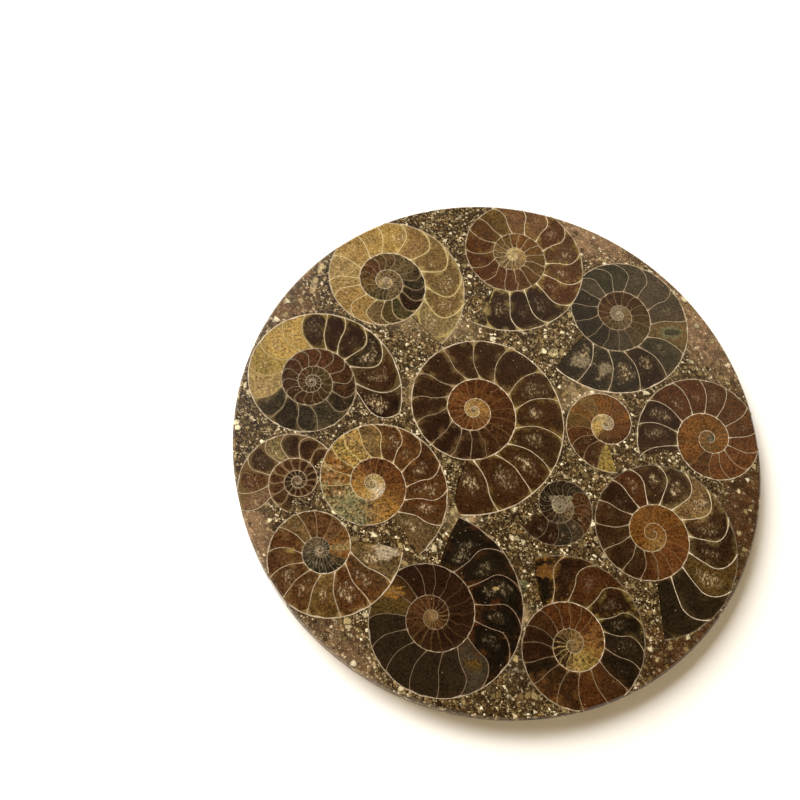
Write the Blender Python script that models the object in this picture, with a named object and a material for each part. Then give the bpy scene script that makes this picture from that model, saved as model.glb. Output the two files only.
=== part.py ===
"""Ammonite fossil slice: a thin round slab of crushed shell and stone with fourteen cut ammonites set in it.

The slab lies flat, polished face up. The origin is the middle of its underside, +Z is up, and lengths
are in metres. Every ammonite goes right through the slab, so both of its faces show.
"""
import math

import bmesh
import bpy
import numpy as np

MM = 0.001

# The slab
DISC_DIAMETER = 100.0 * MM
DISC_THICKNESS = 5.0 * MM
EDGE_CHAMFER = 0.4 * MM      # the arris left by grinding, on the top and the bottom edge
RIM_SIDES = 180

# The fossils
WALL_SAMPLES = 60            # points along the last turn of a shell
SEAM = 0.28 * MM             # room between an ammonite and the stone round it
APERTURE_SAMPLES = 5         # points along the broken edge that closes the last chamber
CUTTER_REACH = 1.0 * MM      # how far a cutter runs past what it cuts
SHARPEST_MITRE = 0.5         # limits how far a sharp corner moves when an outline grows or shrinks
MERGE_DISTANCE = 1e-7        # points closer than this are one point

FOSSIL_ROUGHNESS = 0.18
STONE_ROUGHNESS = 0.25

CLOCKWISE, ANTICLOCKWISE = -1, 1

# Colours, linear RGB
STONE = (0.165, 0.110, 0.075)
AMMONITE_COLOURS = {
    "golden": (0.36, 0.20, 0.06),
    "olive": (0.15, 0.085, 0.03),
    "charcoal": (0.055, 0.045, 0.038),
    "banded": (0.17, 0.11, 0.04),
    "umber": (0.05, 0.018, 0.010),
    "rust": (0.20, 0.07, 0.03),
    "brown": (0.13, 0.055, 0.02),
    "webbed": (0.12, 0.085, 0.055),
    "ember": (0.28, 0.10, 0.025),
    "slate": (0.07, 0.06, 0.045),
    "amber": (0.16, 0.06, 0.018),
    "chestnut": (0.12, 0.045, 0.02),
    "black": (0.035, 0.022, 0.015),
    "honey": (0.22, 0.11, 0.03),
}


class Ammonite:
    """One fossil, as its outer wall sees it: a spiral that grows by `growth` each turn.

    Going back t turns from the mouth, the wall is at radius * growth^-t * exp(-slowing * t^2) from the
    centre, at the angle mouth - hand * 360 * t. `mouth` and `foot` are the angles at which the broken
    edge of the last chamber leaves the outer wall and meets the turn before, and `bow` is how far that
    edge swells forwards between them, all in degrees. `broken` holds the stretch of the last turn, in
    turns, that is missing.
    """

    def __init__(self, name, colour, centre, radius, hand, mouth, foot, growth, slowing, bow=0.0,
                 broken=None):
        self.name = name
        self.colour = AMMONITE_COLOURS[colour]
        self.centre = np.array(centre) * MM
        self.radius = radius * MM
        self.hand = hand
        self.mouth = mouth
        self.foot = foot
        self.growth = growth
        self.slowing = slowing
        self.bow = bow
        self.broken = broken

    def reach(self, turns):
        return self.radius * self.growth ** -turns * np.exp(-self.slowing * turns ** 2)

    def point(self, reach, degrees):
        angle = np.radians(degrees)
        return self.centre + np.stack([reach * np.cos(angle), reach * np.sin(angle)], axis=-1)

    def outline(self):
        """The fossil's edge: its last turn of wall, then the broken edge that leads back to the mouth."""
        foot_turns = 1 + self.hand * (self.mouth - self.foot) / 360
        turns = np.linspace(0, foot_turns, WALL_SAMPLES)
        if self.broken:
            start, end = self.broken
            gone = (turns > start) & (turns < end)
            inner = 1 + np.concatenate([[start], turns[gone], [end]])
            turns = np.concatenate([turns[turns <= start], inner, turns[turns >= end]])
        wall = self.point(self.reach(turns), self.mouth - self.hand * 360 * turns)

        step = np.linspace(0, 1, APERTURE_SAMPLES + 2)[1:-1]
        reach = self.reach(foot_turns) + (self.radius - self.reach(foot_turns)) * step
        angle = self.foot + (self.mouth - self.foot) * step + self.hand * self.bow * 4 * step * (1 - step)
        loop = np.concatenate([wall, self.point(reach, angle)])
        return loop if signed_area(loop) > 0 else loop[::-1]


AMMONITES = [
    Ammonite("ammonite_01_golden", "golden", (-22.35, 31.15), 16.9, CLOCKWISE, -50, -55, 1.80, 0.08),
    Ammonite("ammonite_02_olive", "olive", (3.55, 38.6), 17.7, CLOCKWISE, -120, -119, 1.87, 0.093),
    Ammonite("ammonite_03_charcoal", "charcoal", (24.45, 26.5), 18.4, CLOCKWISE, -138, -145, 1.97, 0.056),
    Ammonite("ammonite_04_banded", "banded", (-36.1, 9.35), 17.4, CLOCKWISE, -18, -10, 2.00, 0.02, bow=12),
    Ammonite("ammonite_05_umber", "umber", (-5.55, 4.95), 20.5, CLOCKWISE, -99, -98, 1.89, 0.085, bow=5),
    Ammonite("ammonite_06_rust", "rust", (19.9, 3.05), 9.6, ANTICLOCKWISE, -82, -88, 2.01, 0.197),
    Ammonite("ammonite_07_brown", "brown", (40.2, 1.05), 14.8, ANTICLOCKWISE, -166, -158, 1.88, 0.154),
    Ammonite("ammonite_08_webbed", "webbed", (-38.0, -9.8), 11.1, ANTICLOCKWISE, -150, -146, 2.00, 0.02,
             bow=6, broken=(0.46, 0.87)),
    Ammonite("ammonite_09_ember", "ember", (-24.65, -9.9), 15.3, CLOCKWISE, -56, -56, 2.02, 0.077),
    Ammonite("ammonite_10_slate", "slate", (9.9, -13.1), 8.3, CLOCKWISE, -151, -157, 2.13, 0.057),
    Ammonite("ammonite_11_amber", "amber", (26.9, -17.75), 19.05, CLOCKWISE, -89, -90, 2.06, 0.075),
    Ammonite("ammonite_12_chestnut", "chestnut", (-33.65, -22.15), 14.6, ANTICLOCKWISE, 0, 17, 2.55, 0.073),
    Ammonite("ammonite_13_black", "black", (-13.9, -33.2), 18.3, ANTICLOCKWISE, 74, 82, 1.90, 0.093),
    Ammonite("ammonite_14_honey", "honey", (10.5, -37.6), 16.05, ANTICLOCKWISE, 111, 127, 1.85, 0.125),
]

# Where two shells lay across each other in the block, the first is cut away by the second
CUT_BY_NEIGHBOUR = {
    "ammonite_03_charcoal": "ammonite_02_olive",
    "ammonite_08_webbed": "ammonite_09_ember",
    "ammonite_13_black": "ammonite_12_chestnut",
}


def signed_area(loop):
    """Half the sum of neighbouring points' cross products: positive when the loop runs anticlockwise."""
    following = np.roll(loop, -1, axis=0)
    return 0.5 * np.sum(loop[:, 0] * following[:, 1] - loop[:, 1] * following[:, 0])


def moved_outwards(loop, distance):
    """Every point of an anticlockwise loop moved out along the mean of its two edges' normals."""
    ahead = np.roll(loop, -1, axis=0) - loop
    ahead /= np.linalg.norm(ahead, axis=1, keepdims=True)
    normal = np.stack([ahead[:, 1], -ahead[:, 0]], axis=1)
    mean = normal + np.roll(normal, 1, axis=0)
    mean /= np.linalg.norm(mean, axis=1, keepdims=True)
    stretch = np.clip(np.sum(mean * normal, axis=1, keepdims=True), SHARPEST_MITRE, None)
    return loop + mean * distance / stretch


def principled(name, colour, roughness):
    material = bpy.data.materials.new(name)
    material.use_nodes = True
    shader = material.node_tree.nodes["Principled BSDF"]
    shader.inputs["Base Color"].default_value = (*colour, 1)
    shader.inputs["Roughness"].default_value = roughness
    shader.inputs["Metallic"].default_value = 0
    return material


def mesh_object(name, bm):
    bmesh.ops.recalc_face_normals(bm, faces=bm.faces)
    mesh = bpy.data.meshes.new(name)
    bm.to_mesh(mesh)
    bm.free()
    made = bpy.data.objects.new(name, mesh)
    bpy.context.collection.objects.link(made)
    return made


def prism(name, loop, bottom, top):
    """A flat loop of points, raised straight up from one height to another."""
    bm = bmesh.new()
    floor = bm.faces.new([bm.verts.new((x, y, bottom)) for x, y in loop])
    raised = bmesh.ops.extrude_face_region(bm, geom=[floor])
    verts = [item for item in raised["geom"] if isinstance(item, bmesh.types.BMVert)]
    bmesh.ops.translate(bm, verts=verts, vec=(0, 0, top - bottom))
    return mesh_object(name, bm)


def ground_disc(name, radius):
    """The slab's own form: its half profile, with a chamfer at each edge, spun about the Z axis."""
    bm = bmesh.new()
    profile = [(0, 0), (radius - EDGE_CHAMFER, 0), (radius, EDGE_CHAMFER),
               (radius, DISC_THICKNESS - EDGE_CHAMFER), (radius - EDGE_CHAMFER, DISC_THICKNESS),
               (0, DISC_THICKNESS)]
    verts = [bm.verts.new((x, 0, z)) for x, z in profile]
    edges = [bm.edges.new(pair) for pair in zip(verts, verts[1:])]
    bmesh.ops.spin(bm, geom=verts + edges, axis=(0, 0, 1), cent=(0, 0, 0), angle=2 * math.pi,
                   steps=RIM_SIDES, use_merge=True)
    bmesh.ops.remove_doubles(bm, verts=bm.verts, dist=MERGE_DISTANCE)
    return mesh_object(name, bm)


def as_cutter(made):
    made.hide_render = True
    made.display_type = "WIRE"
    return made


def boolean(target, cutter, operation):
    modifier = target.modifiers.new(f"{operation.lower()} {cutter.name}", "BOOLEAN")
    modifier.object = cutter
    modifier.operation = operation
    modifier.solver = "EXACT"


def clear_scene():
    for old in list(bpy.data.objects):
        bpy.data.objects.remove(old)


def main():
    clear_scene()
    below, above = -CUTTER_REACH, DISC_THICKNESS + CUTTER_REACH
    outlines = {fossil.name: fossil.outline() for fossil in AMMONITES}
    rim = as_cutter(ground_disc("rim_cutter", DISC_DIAMETER / 2))

    for fossil in AMMONITES:
        body = prism(fossil.name, moved_outwards(outlines[fossil.name], -SEAM), below, above)
        body.data.materials.append(principled(fossil.name, fossil.colour, FOSSIL_ROUGHNESS))
        neighbour = CUT_BY_NEIGHBOUR.get(fossil.name)
        if neighbour:
            wider = moved_outwards(outlines[neighbour], SEAM)
            notch = prism(f"{fossil.name}_notch", wider, 2 * below, above - below)
            boolean(body, as_cutter(notch), "DIFFERENCE")
        boolean(body, rim, "INTERSECT")

    stone = ground_disc("stone_matrix", DISC_DIAMETER / 2)
    stone.data.materials.append(principled("stone_matrix", STONE, STONE_ROUGHNESS))
    for fossil in AMMONITES:
        pocket = as_cutter(prism(f"{fossil.name}_pocket", outlines[fossil.name], below, above))
        boolean(stone, pocket, "DIFFERENCE")


main()
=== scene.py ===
# %% [markdown]
# # Ammonite fossil slice
# A round slab, sawn from a block in which cut ammonites and crushed shell are set, and polished on
# both faces. This notebook dresses the solid model of the slab. The stone between the fossils keeps
# its solid and only gets a finish. Each fossil is built again as two pieces, because a cut ammonite
# is two materials: the calcite that filled its chambers, and the shell wall that parts them.

import bpy
import numpy as np
from mathutils import Matrix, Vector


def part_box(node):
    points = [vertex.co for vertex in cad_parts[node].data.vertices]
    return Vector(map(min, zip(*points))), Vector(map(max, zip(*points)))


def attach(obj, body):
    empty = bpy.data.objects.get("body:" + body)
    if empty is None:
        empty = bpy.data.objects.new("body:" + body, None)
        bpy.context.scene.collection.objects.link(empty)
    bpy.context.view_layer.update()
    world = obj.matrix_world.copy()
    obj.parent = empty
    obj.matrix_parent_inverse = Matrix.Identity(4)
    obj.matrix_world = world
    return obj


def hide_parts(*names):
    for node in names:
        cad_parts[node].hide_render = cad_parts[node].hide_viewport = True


MM = 0.001
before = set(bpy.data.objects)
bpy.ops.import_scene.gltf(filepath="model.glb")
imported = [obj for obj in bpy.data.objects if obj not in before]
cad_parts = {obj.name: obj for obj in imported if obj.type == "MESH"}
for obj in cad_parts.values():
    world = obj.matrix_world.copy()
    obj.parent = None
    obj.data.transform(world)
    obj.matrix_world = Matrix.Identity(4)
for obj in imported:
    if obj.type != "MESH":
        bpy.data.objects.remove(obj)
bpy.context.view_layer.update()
stone_low, stone_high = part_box("stone_matrix")
SLAB_RADIUS = (stone_high.x - stone_low.x) / 2 / MM
SLAB_TOP = stone_high.z / MM
EDGE_CHAMFER = 0.4            # mm, along the rim above and below
print(f"slab {2 * SLAB_RADIUS:.1f} mm across and {SLAB_TOP:.1f} mm thick, {len(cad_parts)} solids")

# %% [markdown]
# ## Camera
# The slab is seen from above, a little from the left and from the front. The camera is placed by
# its distance from the middle of the top face and turned by three axes of its own: right, up and
# back. It is only 17 cm away, so the far rim looks a little narrower than the near one.

# %% Camera
CAMERA_FROM_TOP_FACE = (-37.36, -53.03, 156.49)      # mm from the middle of the top face
CAMERA_RIGHT = (0.99361, 0.0, 0.11284)
CAMERA_UP = (-0.03985, 0.93557, 0.35089)
CAMERA_BACK = (-0.10557, -0.35315, 0.92959)

camera_data = bpy.data.cameras.new("camera")
camera_data.lens = 40.5
camera_data.sensor_width = 36.0
camera_data.clip_start = 0.005
camera_data.clip_end = 10.0
camera = bpy.data.objects.new("camera", camera_data)
turned = Matrix((CAMERA_RIGHT, CAMERA_UP, CAMERA_BACK)).transposed().to_4x4()
turned.translation = [MM * (a + b) for a, b in zip(CAMERA_FROM_TOP_FACE, (0, 0, SLAB_TOP))]
camera.matrix_world = turned
bpy.context.scene.collection.objects.link(camera)
bpy.context.scene.camera = camera
print("camera at", [round(x / MM, 1) for x in turned.translation], "mm")

# %% [markdown]
# ## Helpers for finishes
# A finish is a small graph of nodes. One function turns a colour written as hex into the linear
# values that light is reckoned in, and one adds a node with its settings and its links. The sums that
# come up again and again get a short name here, so that a line of the graph reads like a formula. Two
# more functions write the inputs of a pattern, whose scale comes from its real size in mm, and of a
# change from one value to another.

# %% Colour helpers
def linear(code):
    """A colour written as sRGB hex, turned to the linear values that shaders use."""
    srgb = np.array([int(code[i:i + 2], 16) for i in (0, 2, 4)]) / 255
    return (*np.where(srgb <= 0.04045, srgb / 12.92, ((srgb + 0.055) / 1.055) ** 2.4), 1.0)


def shades(rows):
    """Stops of a colour ramp, from rows of a position and a colour written as hex."""
    return [(position, linear(code)) for position, code in rows]


print("mid grey, 808080, is", round(linear("808080")[0], 3), "in linear light")


# %% Node helper
TIMES = {"operation": "MULTIPLY"}
PLUS = {"operation": "ADD"}
MINUS = {"operation": "SUBTRACT"}
TIMES_PLUS = {"operation": "MULTIPLY_ADD"}
DIVIDED_BY = {"operation": "DIVIDE"}
LESSER = {"operation": "MINIMUM"}
GREATER = {"operation": "MAXIMUM"}
BELOW = {"operation": "LESS_THAN"}
UNSIGNED = {"operation": "ABSOLUTE"}
LENGTH = {"operation": "LENGTH"}
NEAREST = {"feature": "F1"}
SMOOTH = {"interpolation_type": "SMOOTHSTEP"}
COLOURS = {"data_type": "RGBA"}
MIXED = 2                     # the colour output of a mix node; its colour inputs are 6 and 7


def add(tree, kind, settings=(), links=(), out=0):
    """Adds a node, sets its properties, links or sets its inputs, and returns one of its outputs.

    The inputs are named by a dictionary, or counted from the first one by a tuple. The setting
    "stops" fills a colour ramp with (position, linear colour) pairs.
    """
    node = tree.nodes.new("ShaderNode" + kind)
    for name, value in dict(settings).items():
        if name == "stops":
            ramp = node.color_ramp
            while len(ramp.elements) > 1:
                ramp.elements.remove(ramp.elements[-1])
            ramp.elements[0].position, ramp.elements[0].color = value[0]
            for position, colour in value[1:]:
                ramp.elements.new(position).color = colour
        else:
            setattr(node, name, value)
    for key, value in (links if isinstance(links, dict) else dict(enumerate(links))).items():
        if isinstance(value, bpy.types.NodeSocket):
            tree.links.new(value, node.inputs[key])
        else:
            node.inputs[key].default_value = value
    return node.outputs[out]


print("node helper ready")


# %% Pattern and material helpers
def pattern(where, size, **more):
    """Inputs of a texture whose features are about `size` mm across."""
    return {"Vector": where, "Scale": 1 / (size * MM), **more}


def change(value, start, end, first, last):
    """Inputs of a map range: `first` up to where the value is `start`, and `last` from `end` on."""
    return {"Value": value, "From Min": start, "From Max": end, "To Min": first, "To Max": last}


def new_material(name):
    """An empty node material, and the tree to build it in."""
    material = bpy.data.materials.new(name)
    material.use_nodes = True
    material.node_tree.nodes.clear()
    return material, material.node_tree


def finish_material(tree, shader):
    """Links the shader to the material's output."""
    output = tree.nodes.new("ShaderNodeOutputMaterial")
    tree.links.new(shader, output.inputs["Surface"])


print("a pattern of 1 mm has the scale", round(pattern(None, 1.0)["Scale"]))

# %% [markdown]
# ## Floor
# A sheet of white paper, far larger than the slab, a hair below it so that the two never touch.

# %% Floor
FLOOR_HALF = 1.5              # m
FLOOR_DROP = 0.00002          # m
floor_mesh = bpy.data.meshes.new("floor")
corners = np.array([(-1, -1), (1, -1), (1, 1), (-1, 1)]) * FLOOR_HALF
floor_mesh.from_pydata([(x, y, -FLOOR_DROP) for x, y in corners], [], [(0, 1, 2, 3)])
floor = bpy.data.objects.new("floor", floor_mesh)
bpy.context.scene.collection.objects.link(floor)
paper, tree = new_material("white_paper")
finish_material(tree, add(tree, "BsdfPrincipled", (), {
    "Base Color": linear("f9f9f8"), "Roughness": 0.9, "Specular IOR Level": 0.1}))
floor_mesh.materials.append(paper)
print("floor", 2 * FLOOR_HALF, "m square")

# %% [markdown]
# ## Light
# The soft light of a window to the upper left, filled in from the front. Polished stone shows what
# hangs above it as a grey veil, so the sky overhead is kept dim and most of the light comes in low,
# from the sides. One weak panel to the upper right gives the polish its faint sheen there.

# %% Light
def area_light(name, towards, distance, size, power, colour):
    """A square panel of `size` metres and `power` watts, `distance` metres away, facing the slab."""
    data = bpy.data.lights.new(name, "AREA")
    data.size = size
    data.energy = power
    data.color = linear(colour)[:3]
    lamp = bpy.data.objects.new(name, data)
    direction = np.array(towards, float) / np.linalg.norm(towards)
    back = Matrix.Identity(3)
    back.col[2] = direction
    back.col[0] = np.cross((0, 0, 1), direction) / np.linalg.norm(np.cross((0, 0, 1), direction))
    back.col[1] = np.cross(back.col[2], back.col[0])
    lamp.matrix_world = back.to_4x4()
    lamp.location = direction * distance
    bpy.context.scene.collection.objects.link(lamp)
    return lamp


area_light("window", (-0.57, 0.57, 0.72), distance=1.0, size=0.7, power=20.4, colour="fffdf9")
area_light("front_fill", (-0.35, -0.95, 0.50), distance=1.0, size=0.9, power=3.0, colour="f8e0bc")
area_light("sheen_panel", (0.42, 0.50, 0.80), distance=1.2, size=0.5, power=0.3, colour="fff2dc")

SKY = [(0.0, "fadeb0"), (0.35, "f0d4a4"), (0.75, "2e2518")]           # level, low and overhead
SKY_STRENGTH = 1.12
world = bpy.data.worlds.new("room")
bpy.context.scene.world = world
world.use_nodes = True
world.node_tree.nodes.clear()
tree = world.node_tree
ray = add(tree, "TexCoord", out="Generated")
height = add(tree, "SeparateXYZ", (), (ray,), "Z")
sky = add(tree, "ValToRGB", {"stops": shades(SKY)}, (height,))
background = add(tree, "Background", (), {"Color": sky, "Strength": SKY_STRENGTH})
output = tree.nodes.new("ShaderNodeOutputWorld")
tree.links.new(background, output.inputs["Surface"])
bpy.context.scene.view_settings.view_transform = "Standard"

# %% [markdown]
# ## The spiral
# An ammonite grows as a spiral tube whose wall moves out by nearly the same factor each turn. The
# formula that shapes the solids is repeated here, because the looks need more than the outline: they
# need to know, for every point of the cut face, how many turns back from the mouth it lies, which
# chamber it is in, and how far across the tube it is, from 0 on the inner wall to 1 on the outer one.

# %% Shell geometry
CLOCKWISE, ANTICLOCKWISE = -1, 1
CORE = 0.35                   # radius in mm at which the spiral is too small to draw
INNER_LEAN = (1.1, 6, 2)      # how the septa of the inner turns lean, where nothing else is said
SOLVE_STEPS = 14              # rounds in which the lean of a point is settled
BEYOND = 3                    # chambers counted on at an even length past the first and last septum


def colour_rows(words):
    """Rows of (turns back, colour name) from words such as "umber 0 .16, brown .28"."""
    entries = [entry.split() for entry in words.split(",")]
    return [(float(place), name) for name, *places in entries for place in places]


class Ammonite:
    """A spiral shell. Lengths are in mm, angles in degrees, and t counts turns back from the mouth.

    The wall is at radius * growth^-t * exp(-slowing * t^2) from the centre, at the angle
    mouth - hand * 360 * t. The last chamber ends in an edge from the angle `foot` on the turn before
    to `mouth` on the outer wall, swollen forwards by `bow`, and walled if `closed`. `septa` are the
    angles at which the first partitions cross the middle of the tube; further back one follows every
    `spacing` degrees. `lean` has rows of (turns, foot, lip): how many degrees further forward than
    its middle a septum there meets the inner wall, and the outer wall. From the first to the second
    turn of `broken`, the outer part of the shell is gone. `cut_by` names a neighbour that took a piece
    of this shell, `wall` is how thick its wall is, and `crinkled` how wavy its septa are, in shares of
    the usual. All the rest is the shell's look.
    """

    def __init__(self, name, centre, radius, hand, mouth, foot, growth, slowing, septa, lean, spacing=23,
                 bow=0, closed=False, broken=None, cut_by=None, wall=0.175, crinkled=1.0, **look):
        self.name, self.centre = name, np.array(centre, float)
        self.radius, self.hand, self.mouth, self.foot = radius, hand, mouth, foot
        self.growth, self.slowing, self.wall = growth, slowing, wall
        self.look = {part: colour_rows(row) if isinstance(row, str) else row for part, row in look.items()}
        self.bow, self.closed, self.broken, self.cut_by = bow, closed, broken, cut_by
        self.crinkled = crinkled
        self.lean = np.array(lean if lean[-1][0] > INNER_LEAN[0] else [*lean, INNER_LEAN], float)
        rate = np.log(growth)
        self.turns = (np.sqrt(rate ** 2 + 4 * slowing * np.log(radius / CORE)) - rate) / (2 * slowing)
        steps = np.mod(np.diff([mouth, *septa]) * -hand, 360)
        read = np.cumsum(steps) / 360
        further = np.arange(read[-1] + spacing / 360, self.turns, spacing / 360)
        self.septa = np.concatenate([read, further])

    def reach(self, t):
        """Distance from the centre to the wall."""
        return self.radius * self.growth ** -t * np.exp(-self.slowing * t ** 2)

    def point(self, reach, t):
        """The point at a distance from the centre, t turns back from the mouth."""
        angle = np.radians(self.mouth - self.hand * 360 * t)
        return self.centre + reach[..., None] * np.stack([np.cos(angle), np.sin(angle)], axis=-1)

    def forward(self, across, t):
        """Turns by which the septum t leans forward at a place across: a parabola on each side."""
        foot = np.interp(t, self.lean[:, 0], self.lean[:, 1])
        lip = np.interp(t, self.lean[:, 0], self.lean[:, 2])
        half = 2 * across - 1
        return (foot * np.clip(-half, 0, 1) ** 2 + lip * np.clip(half, 0, 1) ** 2) / 360

    def along(self, across, t):
        """The septum that would pass through a point: t plus the lean of that very septum."""
        found = t
        for _ in range(SOLVE_STEPS):
            found = t + self.forward(across, found)
        return found

    def chamber(self, along):
        """Chamber number: whole on every septum, and growing steadily from one to the next."""
        first, last = np.diff(self.septa)[[0, -1]]
        turns = [self.septa[0] - BEYOND * first, *self.septa, self.septa[-1] + BEYOND * last]
        count = len(self.septa)
        return np.interp(along, turns, [-BEYOND, *range(count), count - 1 + BEYOND])

    def edge(self, across):
        """Turns back at which the last chamber ends, at a place across the tube."""
        lead = self.hand * (self.mouth - self.foot)
        return (lead * (1 - across) - self.bow * 4 * across * (1 - across)) / 360


print("spiral formula ready")

# %% [markdown]
# ## Colours
# The colours of fossil calcite come from iron, manganese and mud: rust and amber where it is
# translucent, olive and slate where it is dirty, cream where it is shell. They are named once here,
# as sRGB hex, and the shells' looks are written with the names.

# %% Palette
PALETTE = {
    "jet": "100b05", "soot": "150f07", "charcoal": "241e14", "graphite": "322a1d", "slate": "292619",
    "umber": "221208", "cocoa": "311d0c", "chestnut": "3e220d", "rust": "502f15", "copper": "60401d",
    "amber": "725124", "honey": "785f35", "gold": "8c723d", "mustard": "75622f", "straw": "988655",
    "cream": "b4a57c", "olive": "3b2e14", "bronze": "493618", "moss": "312d17", "sage": "58553b",
    "lichen": "757354", "tan": "664e2f", "sand": "816c45", "brown": "402712", "drab": "4b3d26",
    "ash": "6e624d", "teal": "2c392d", "violet": "291e20", "pink": "553b24", "night": "20180d",
    "dun": "594628", "toffee": "573512", "ivory": "bfb19c", "pearl": "ac9e88", "chalk": "968872",
    "horn": "7b6e5c", "clay": "625645", "sepia": "2a190b", "loam": "393023", "rose": "5e4834",
    "khaki": "695b3c",
}
print(len(PALETTE), "colours")

# %% [markdown]
# ## The fourteen fossils
# Each shell is laid down with its own spiral and its own look. A look is read along the shell, from
# the mouth back. Its colours are words of the palette, each with the turns back at which it is met:
# `body` is the calcite in the chambers, `corner` what lines their corners, `shell` the septa, and
# `wall_colour` the spiral wall. `mood` has rows of the turns back and four numbers from 0 to 1: how
# cloudy the calcite is, how flecked with painted glints, how crystalline, and how much its edges
# glow. `round` is how round the chambers' corners are at the inner and at the outer wall, and
# `lining` how thick the lining is along their sides, both in shares of the chamber's shorter side. A
# patch is an offset from the centre, a length and a width in mm, and a colour.

# %% Shells of the upper left
AMMONITES = [
    Ammonite("golden", (-22.35, 31.15), 16.9, CLOCKWISE, -50, -55, 1.80, 0.08,
             septa=(326, 347, 15, 41, 68, 94, 118, 149, 175, 192, 217, 240, 263, 282), spacing=21,
             lean=[(0, -12, -18), (.2, -6, -24), (.33, -4, -10), (.5, -4, -4), (.7, 2, -10),
                   (.8, -6, -24), (.9, -5, -12), (1.2, -6, -16), (2, -8, -8)],
             round=(0.44, 0.34), lining=0.03, crinkled=0.15,
             body="khaki 0, dun .07 .14 .21, tan .29, gold .36, honey .5, sand .6, honey .7 .78, "
                  "drab .84, olive .9, moss .95, umber 1, charcoal 1.12, drab 1.3, brown 1.5, "
                  "bronze 1.67, moss 1.85, drab 2 2.2, dun 2.4, sand 2.6",
             corner="straw 0, sand 1, drab 2",
             shell="cream 0 .7, chalk .9, clay 1.1 1.6, horn 2",
             wall_colour="chalk 0 .6, pearl .9, ivory 1.2, pearl 2",
             mood=[(0, .9, .7, .4, .6), (.15, .6, .4, .3, .6), (.35, .6, .3, .3, .6), (.6, .5, .3, .3, .5),
                   (1, .1, .5, .4, .1), (1.5, .1, .6, .6, .1), (2, .3, .8, .9, .2)]),
    Ammonite("olive", (3.55, 38.6), 17.7, CLOCKWISE, -120, -119, 1.87, 0.093,
             septa=(264, 284, 307, 330, 353, 20, 44, 71, 98, 125, 152, 180, 205, 229, 251), spacing=23,
             lean=[(0, 4, -9), (.15, 0, -10), (.35, 6, -14), (.55, 8, -15), (.66, 7, -8), (.76, 9, 5),
                   (.97, 13, 6), (1.03, 9, -6)],
             body="umber 0 .16, chestnut .22, brown .28 .35, chestnut .42, pink .5 .57, bronze .64, "
                  "brown .72, chestnut .8 1, brown 1.1, bronze 1.3, toffee 1.5, bronze 1.66, "
                  "dun 1.84 2.2, honey 2.4, straw 2.6",
             corner="straw 0, mustard .3, dun 1, sand 2",
             shell="ivory 0 .5, chalk .75 1.3 2",
             wall_colour="pearl 0, chalk .4 2",
             mood=[(0, .9, .4, .2, .7), (.1, .2, .2, .1, .2), (.28, .5, .5, .2, .9), (.5, .3, .2, .1, .6),
                   (1, .1, .2, .1, .5), (1.2, .1, .3, .3, .1), (2, .3, .8, .6, .1)]),
    Ammonite("charcoal", (24.45, 26.5), 18.4, CLOCKWISE, -138, -145, 1.97, 0.056,
             septa=(239, 260, 283, 307, 331, 355, 20, 48, 72, 95, 119, 142, 166, 192, 219), spacing=24,
             lean=[(0, 10, 2), (.3, 11, 4), (.4, 10, -6), (.52, 4, -18), (.6, -4, -22), (.72, 2, -16),
                   (.8, 6, -4), (.93, 9, 1)], cut_by="olive",
             body="charcoal 0 .08 .14, umber .2, slate .27, dun .34, loam .4 .56, slate .62 .68, "
                  "loam .75, charcoal .81 1.05, loam 1.15, olive 1.3, cocoa 1.5 1.7, brown 1.87, "
                  "olive 2.05, drab 2.25, dun 2.45, clay 2.6",
             corner="drab 0 1, tan 2",
             shell="pearl 0, chalk .4, horn .9, clay 1.1 2",
             wall_colour="ivory 0, chalk .5 1, pearl 1.3, chalk 2",
             mood=[(0, 1, .6, .2, .5), (.15, .9, .4, .1, .4), (.25, .3, .2, 0, .4), (1, .1, .1, .1, .1),
                   (2, .2, .6, .3, .1)],
             patches=[((10.4, -3.3), 5.0, 2.8, "sage"), ((10.6, -3.3), 3.4, 1.4, "slate"),
                      ((-8.6, -10.6), 4.4, 2.4, "ash"), ((-3.8, -11.9), 3.0, 2.6, "ash")]),
    Ammonite("banded", (-36.1, 9.35), 17.4, CLOCKWISE, -18, -10, 2.00, 0.02,
             septa=(353, 17, 38, 61, 79, 102, 122, 149, 174, 202, 226, 252, 279, 309, 334), spacing=25,
             lean=[(.03, -7, -8), (.1, -9, -20), (.16, 0, -14), (.22, 9, -6), (.33, 11, 5), (.5, 12, 8),
                   (.68, 13, 0), (.75, 12, -12), (.82, 12, 2), (.92, -2, -20), (1.2, -4, -14),
                   (2, -6, -8)],
             bow=13, closed=True, round=(0.46, 0.42), lining=0.04, crinkled=0.15,
             body="umber 0, cocoa .065, night .13, umber .19 .25, sepia .325, gold .335 .43, mustard .5, "
                  "sand .57 .61, charcoal .64, night .71, charcoal .78, graphite .86, night .94, "
                  "cocoa 1.02, chestnut 1.3, cocoa 1.5 1.85, olive 2.05 2.25, chestnut 2.4, cocoa 2.6 2.8",
             corner="drab 0, mustard .33, sand .6, drab .7 1 2",
             shell="ivory 0, pearl .3, straw .4 .62, horn .66 1.3, clay 2",
             wall_colour="pearl 0 .6, chalk 1 2",
             mood=[(0, 1, .9, .5, .3), (.06, .8, .6, .2, .7), (.14, .7, .5, .3, .6), (.25, .1, .2, .1, .2),
                   (.34, .4, .4, .2, .6), (.6, .8, .5, .3, .5), (.64, .2, .3, .4, .3), (1, .1, .5, .4, .3),
                   (2, .1, .7, .4, .2)],
             patches=[((-0.5, -10.6), 2.4, 2.2, "ash")]),
]
print([f"{fossil.name}: {fossil.turns:.2f} turns, {len(fossil.septa)} septa" for fossil in AMMONITES])

# %% [markdown]
# The shells across the middle of the slab: the large dark one at the centre, the small rusty one and
# the brown one to its right, and the two on the left, of which the glowing one broke its neighbour.

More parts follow.
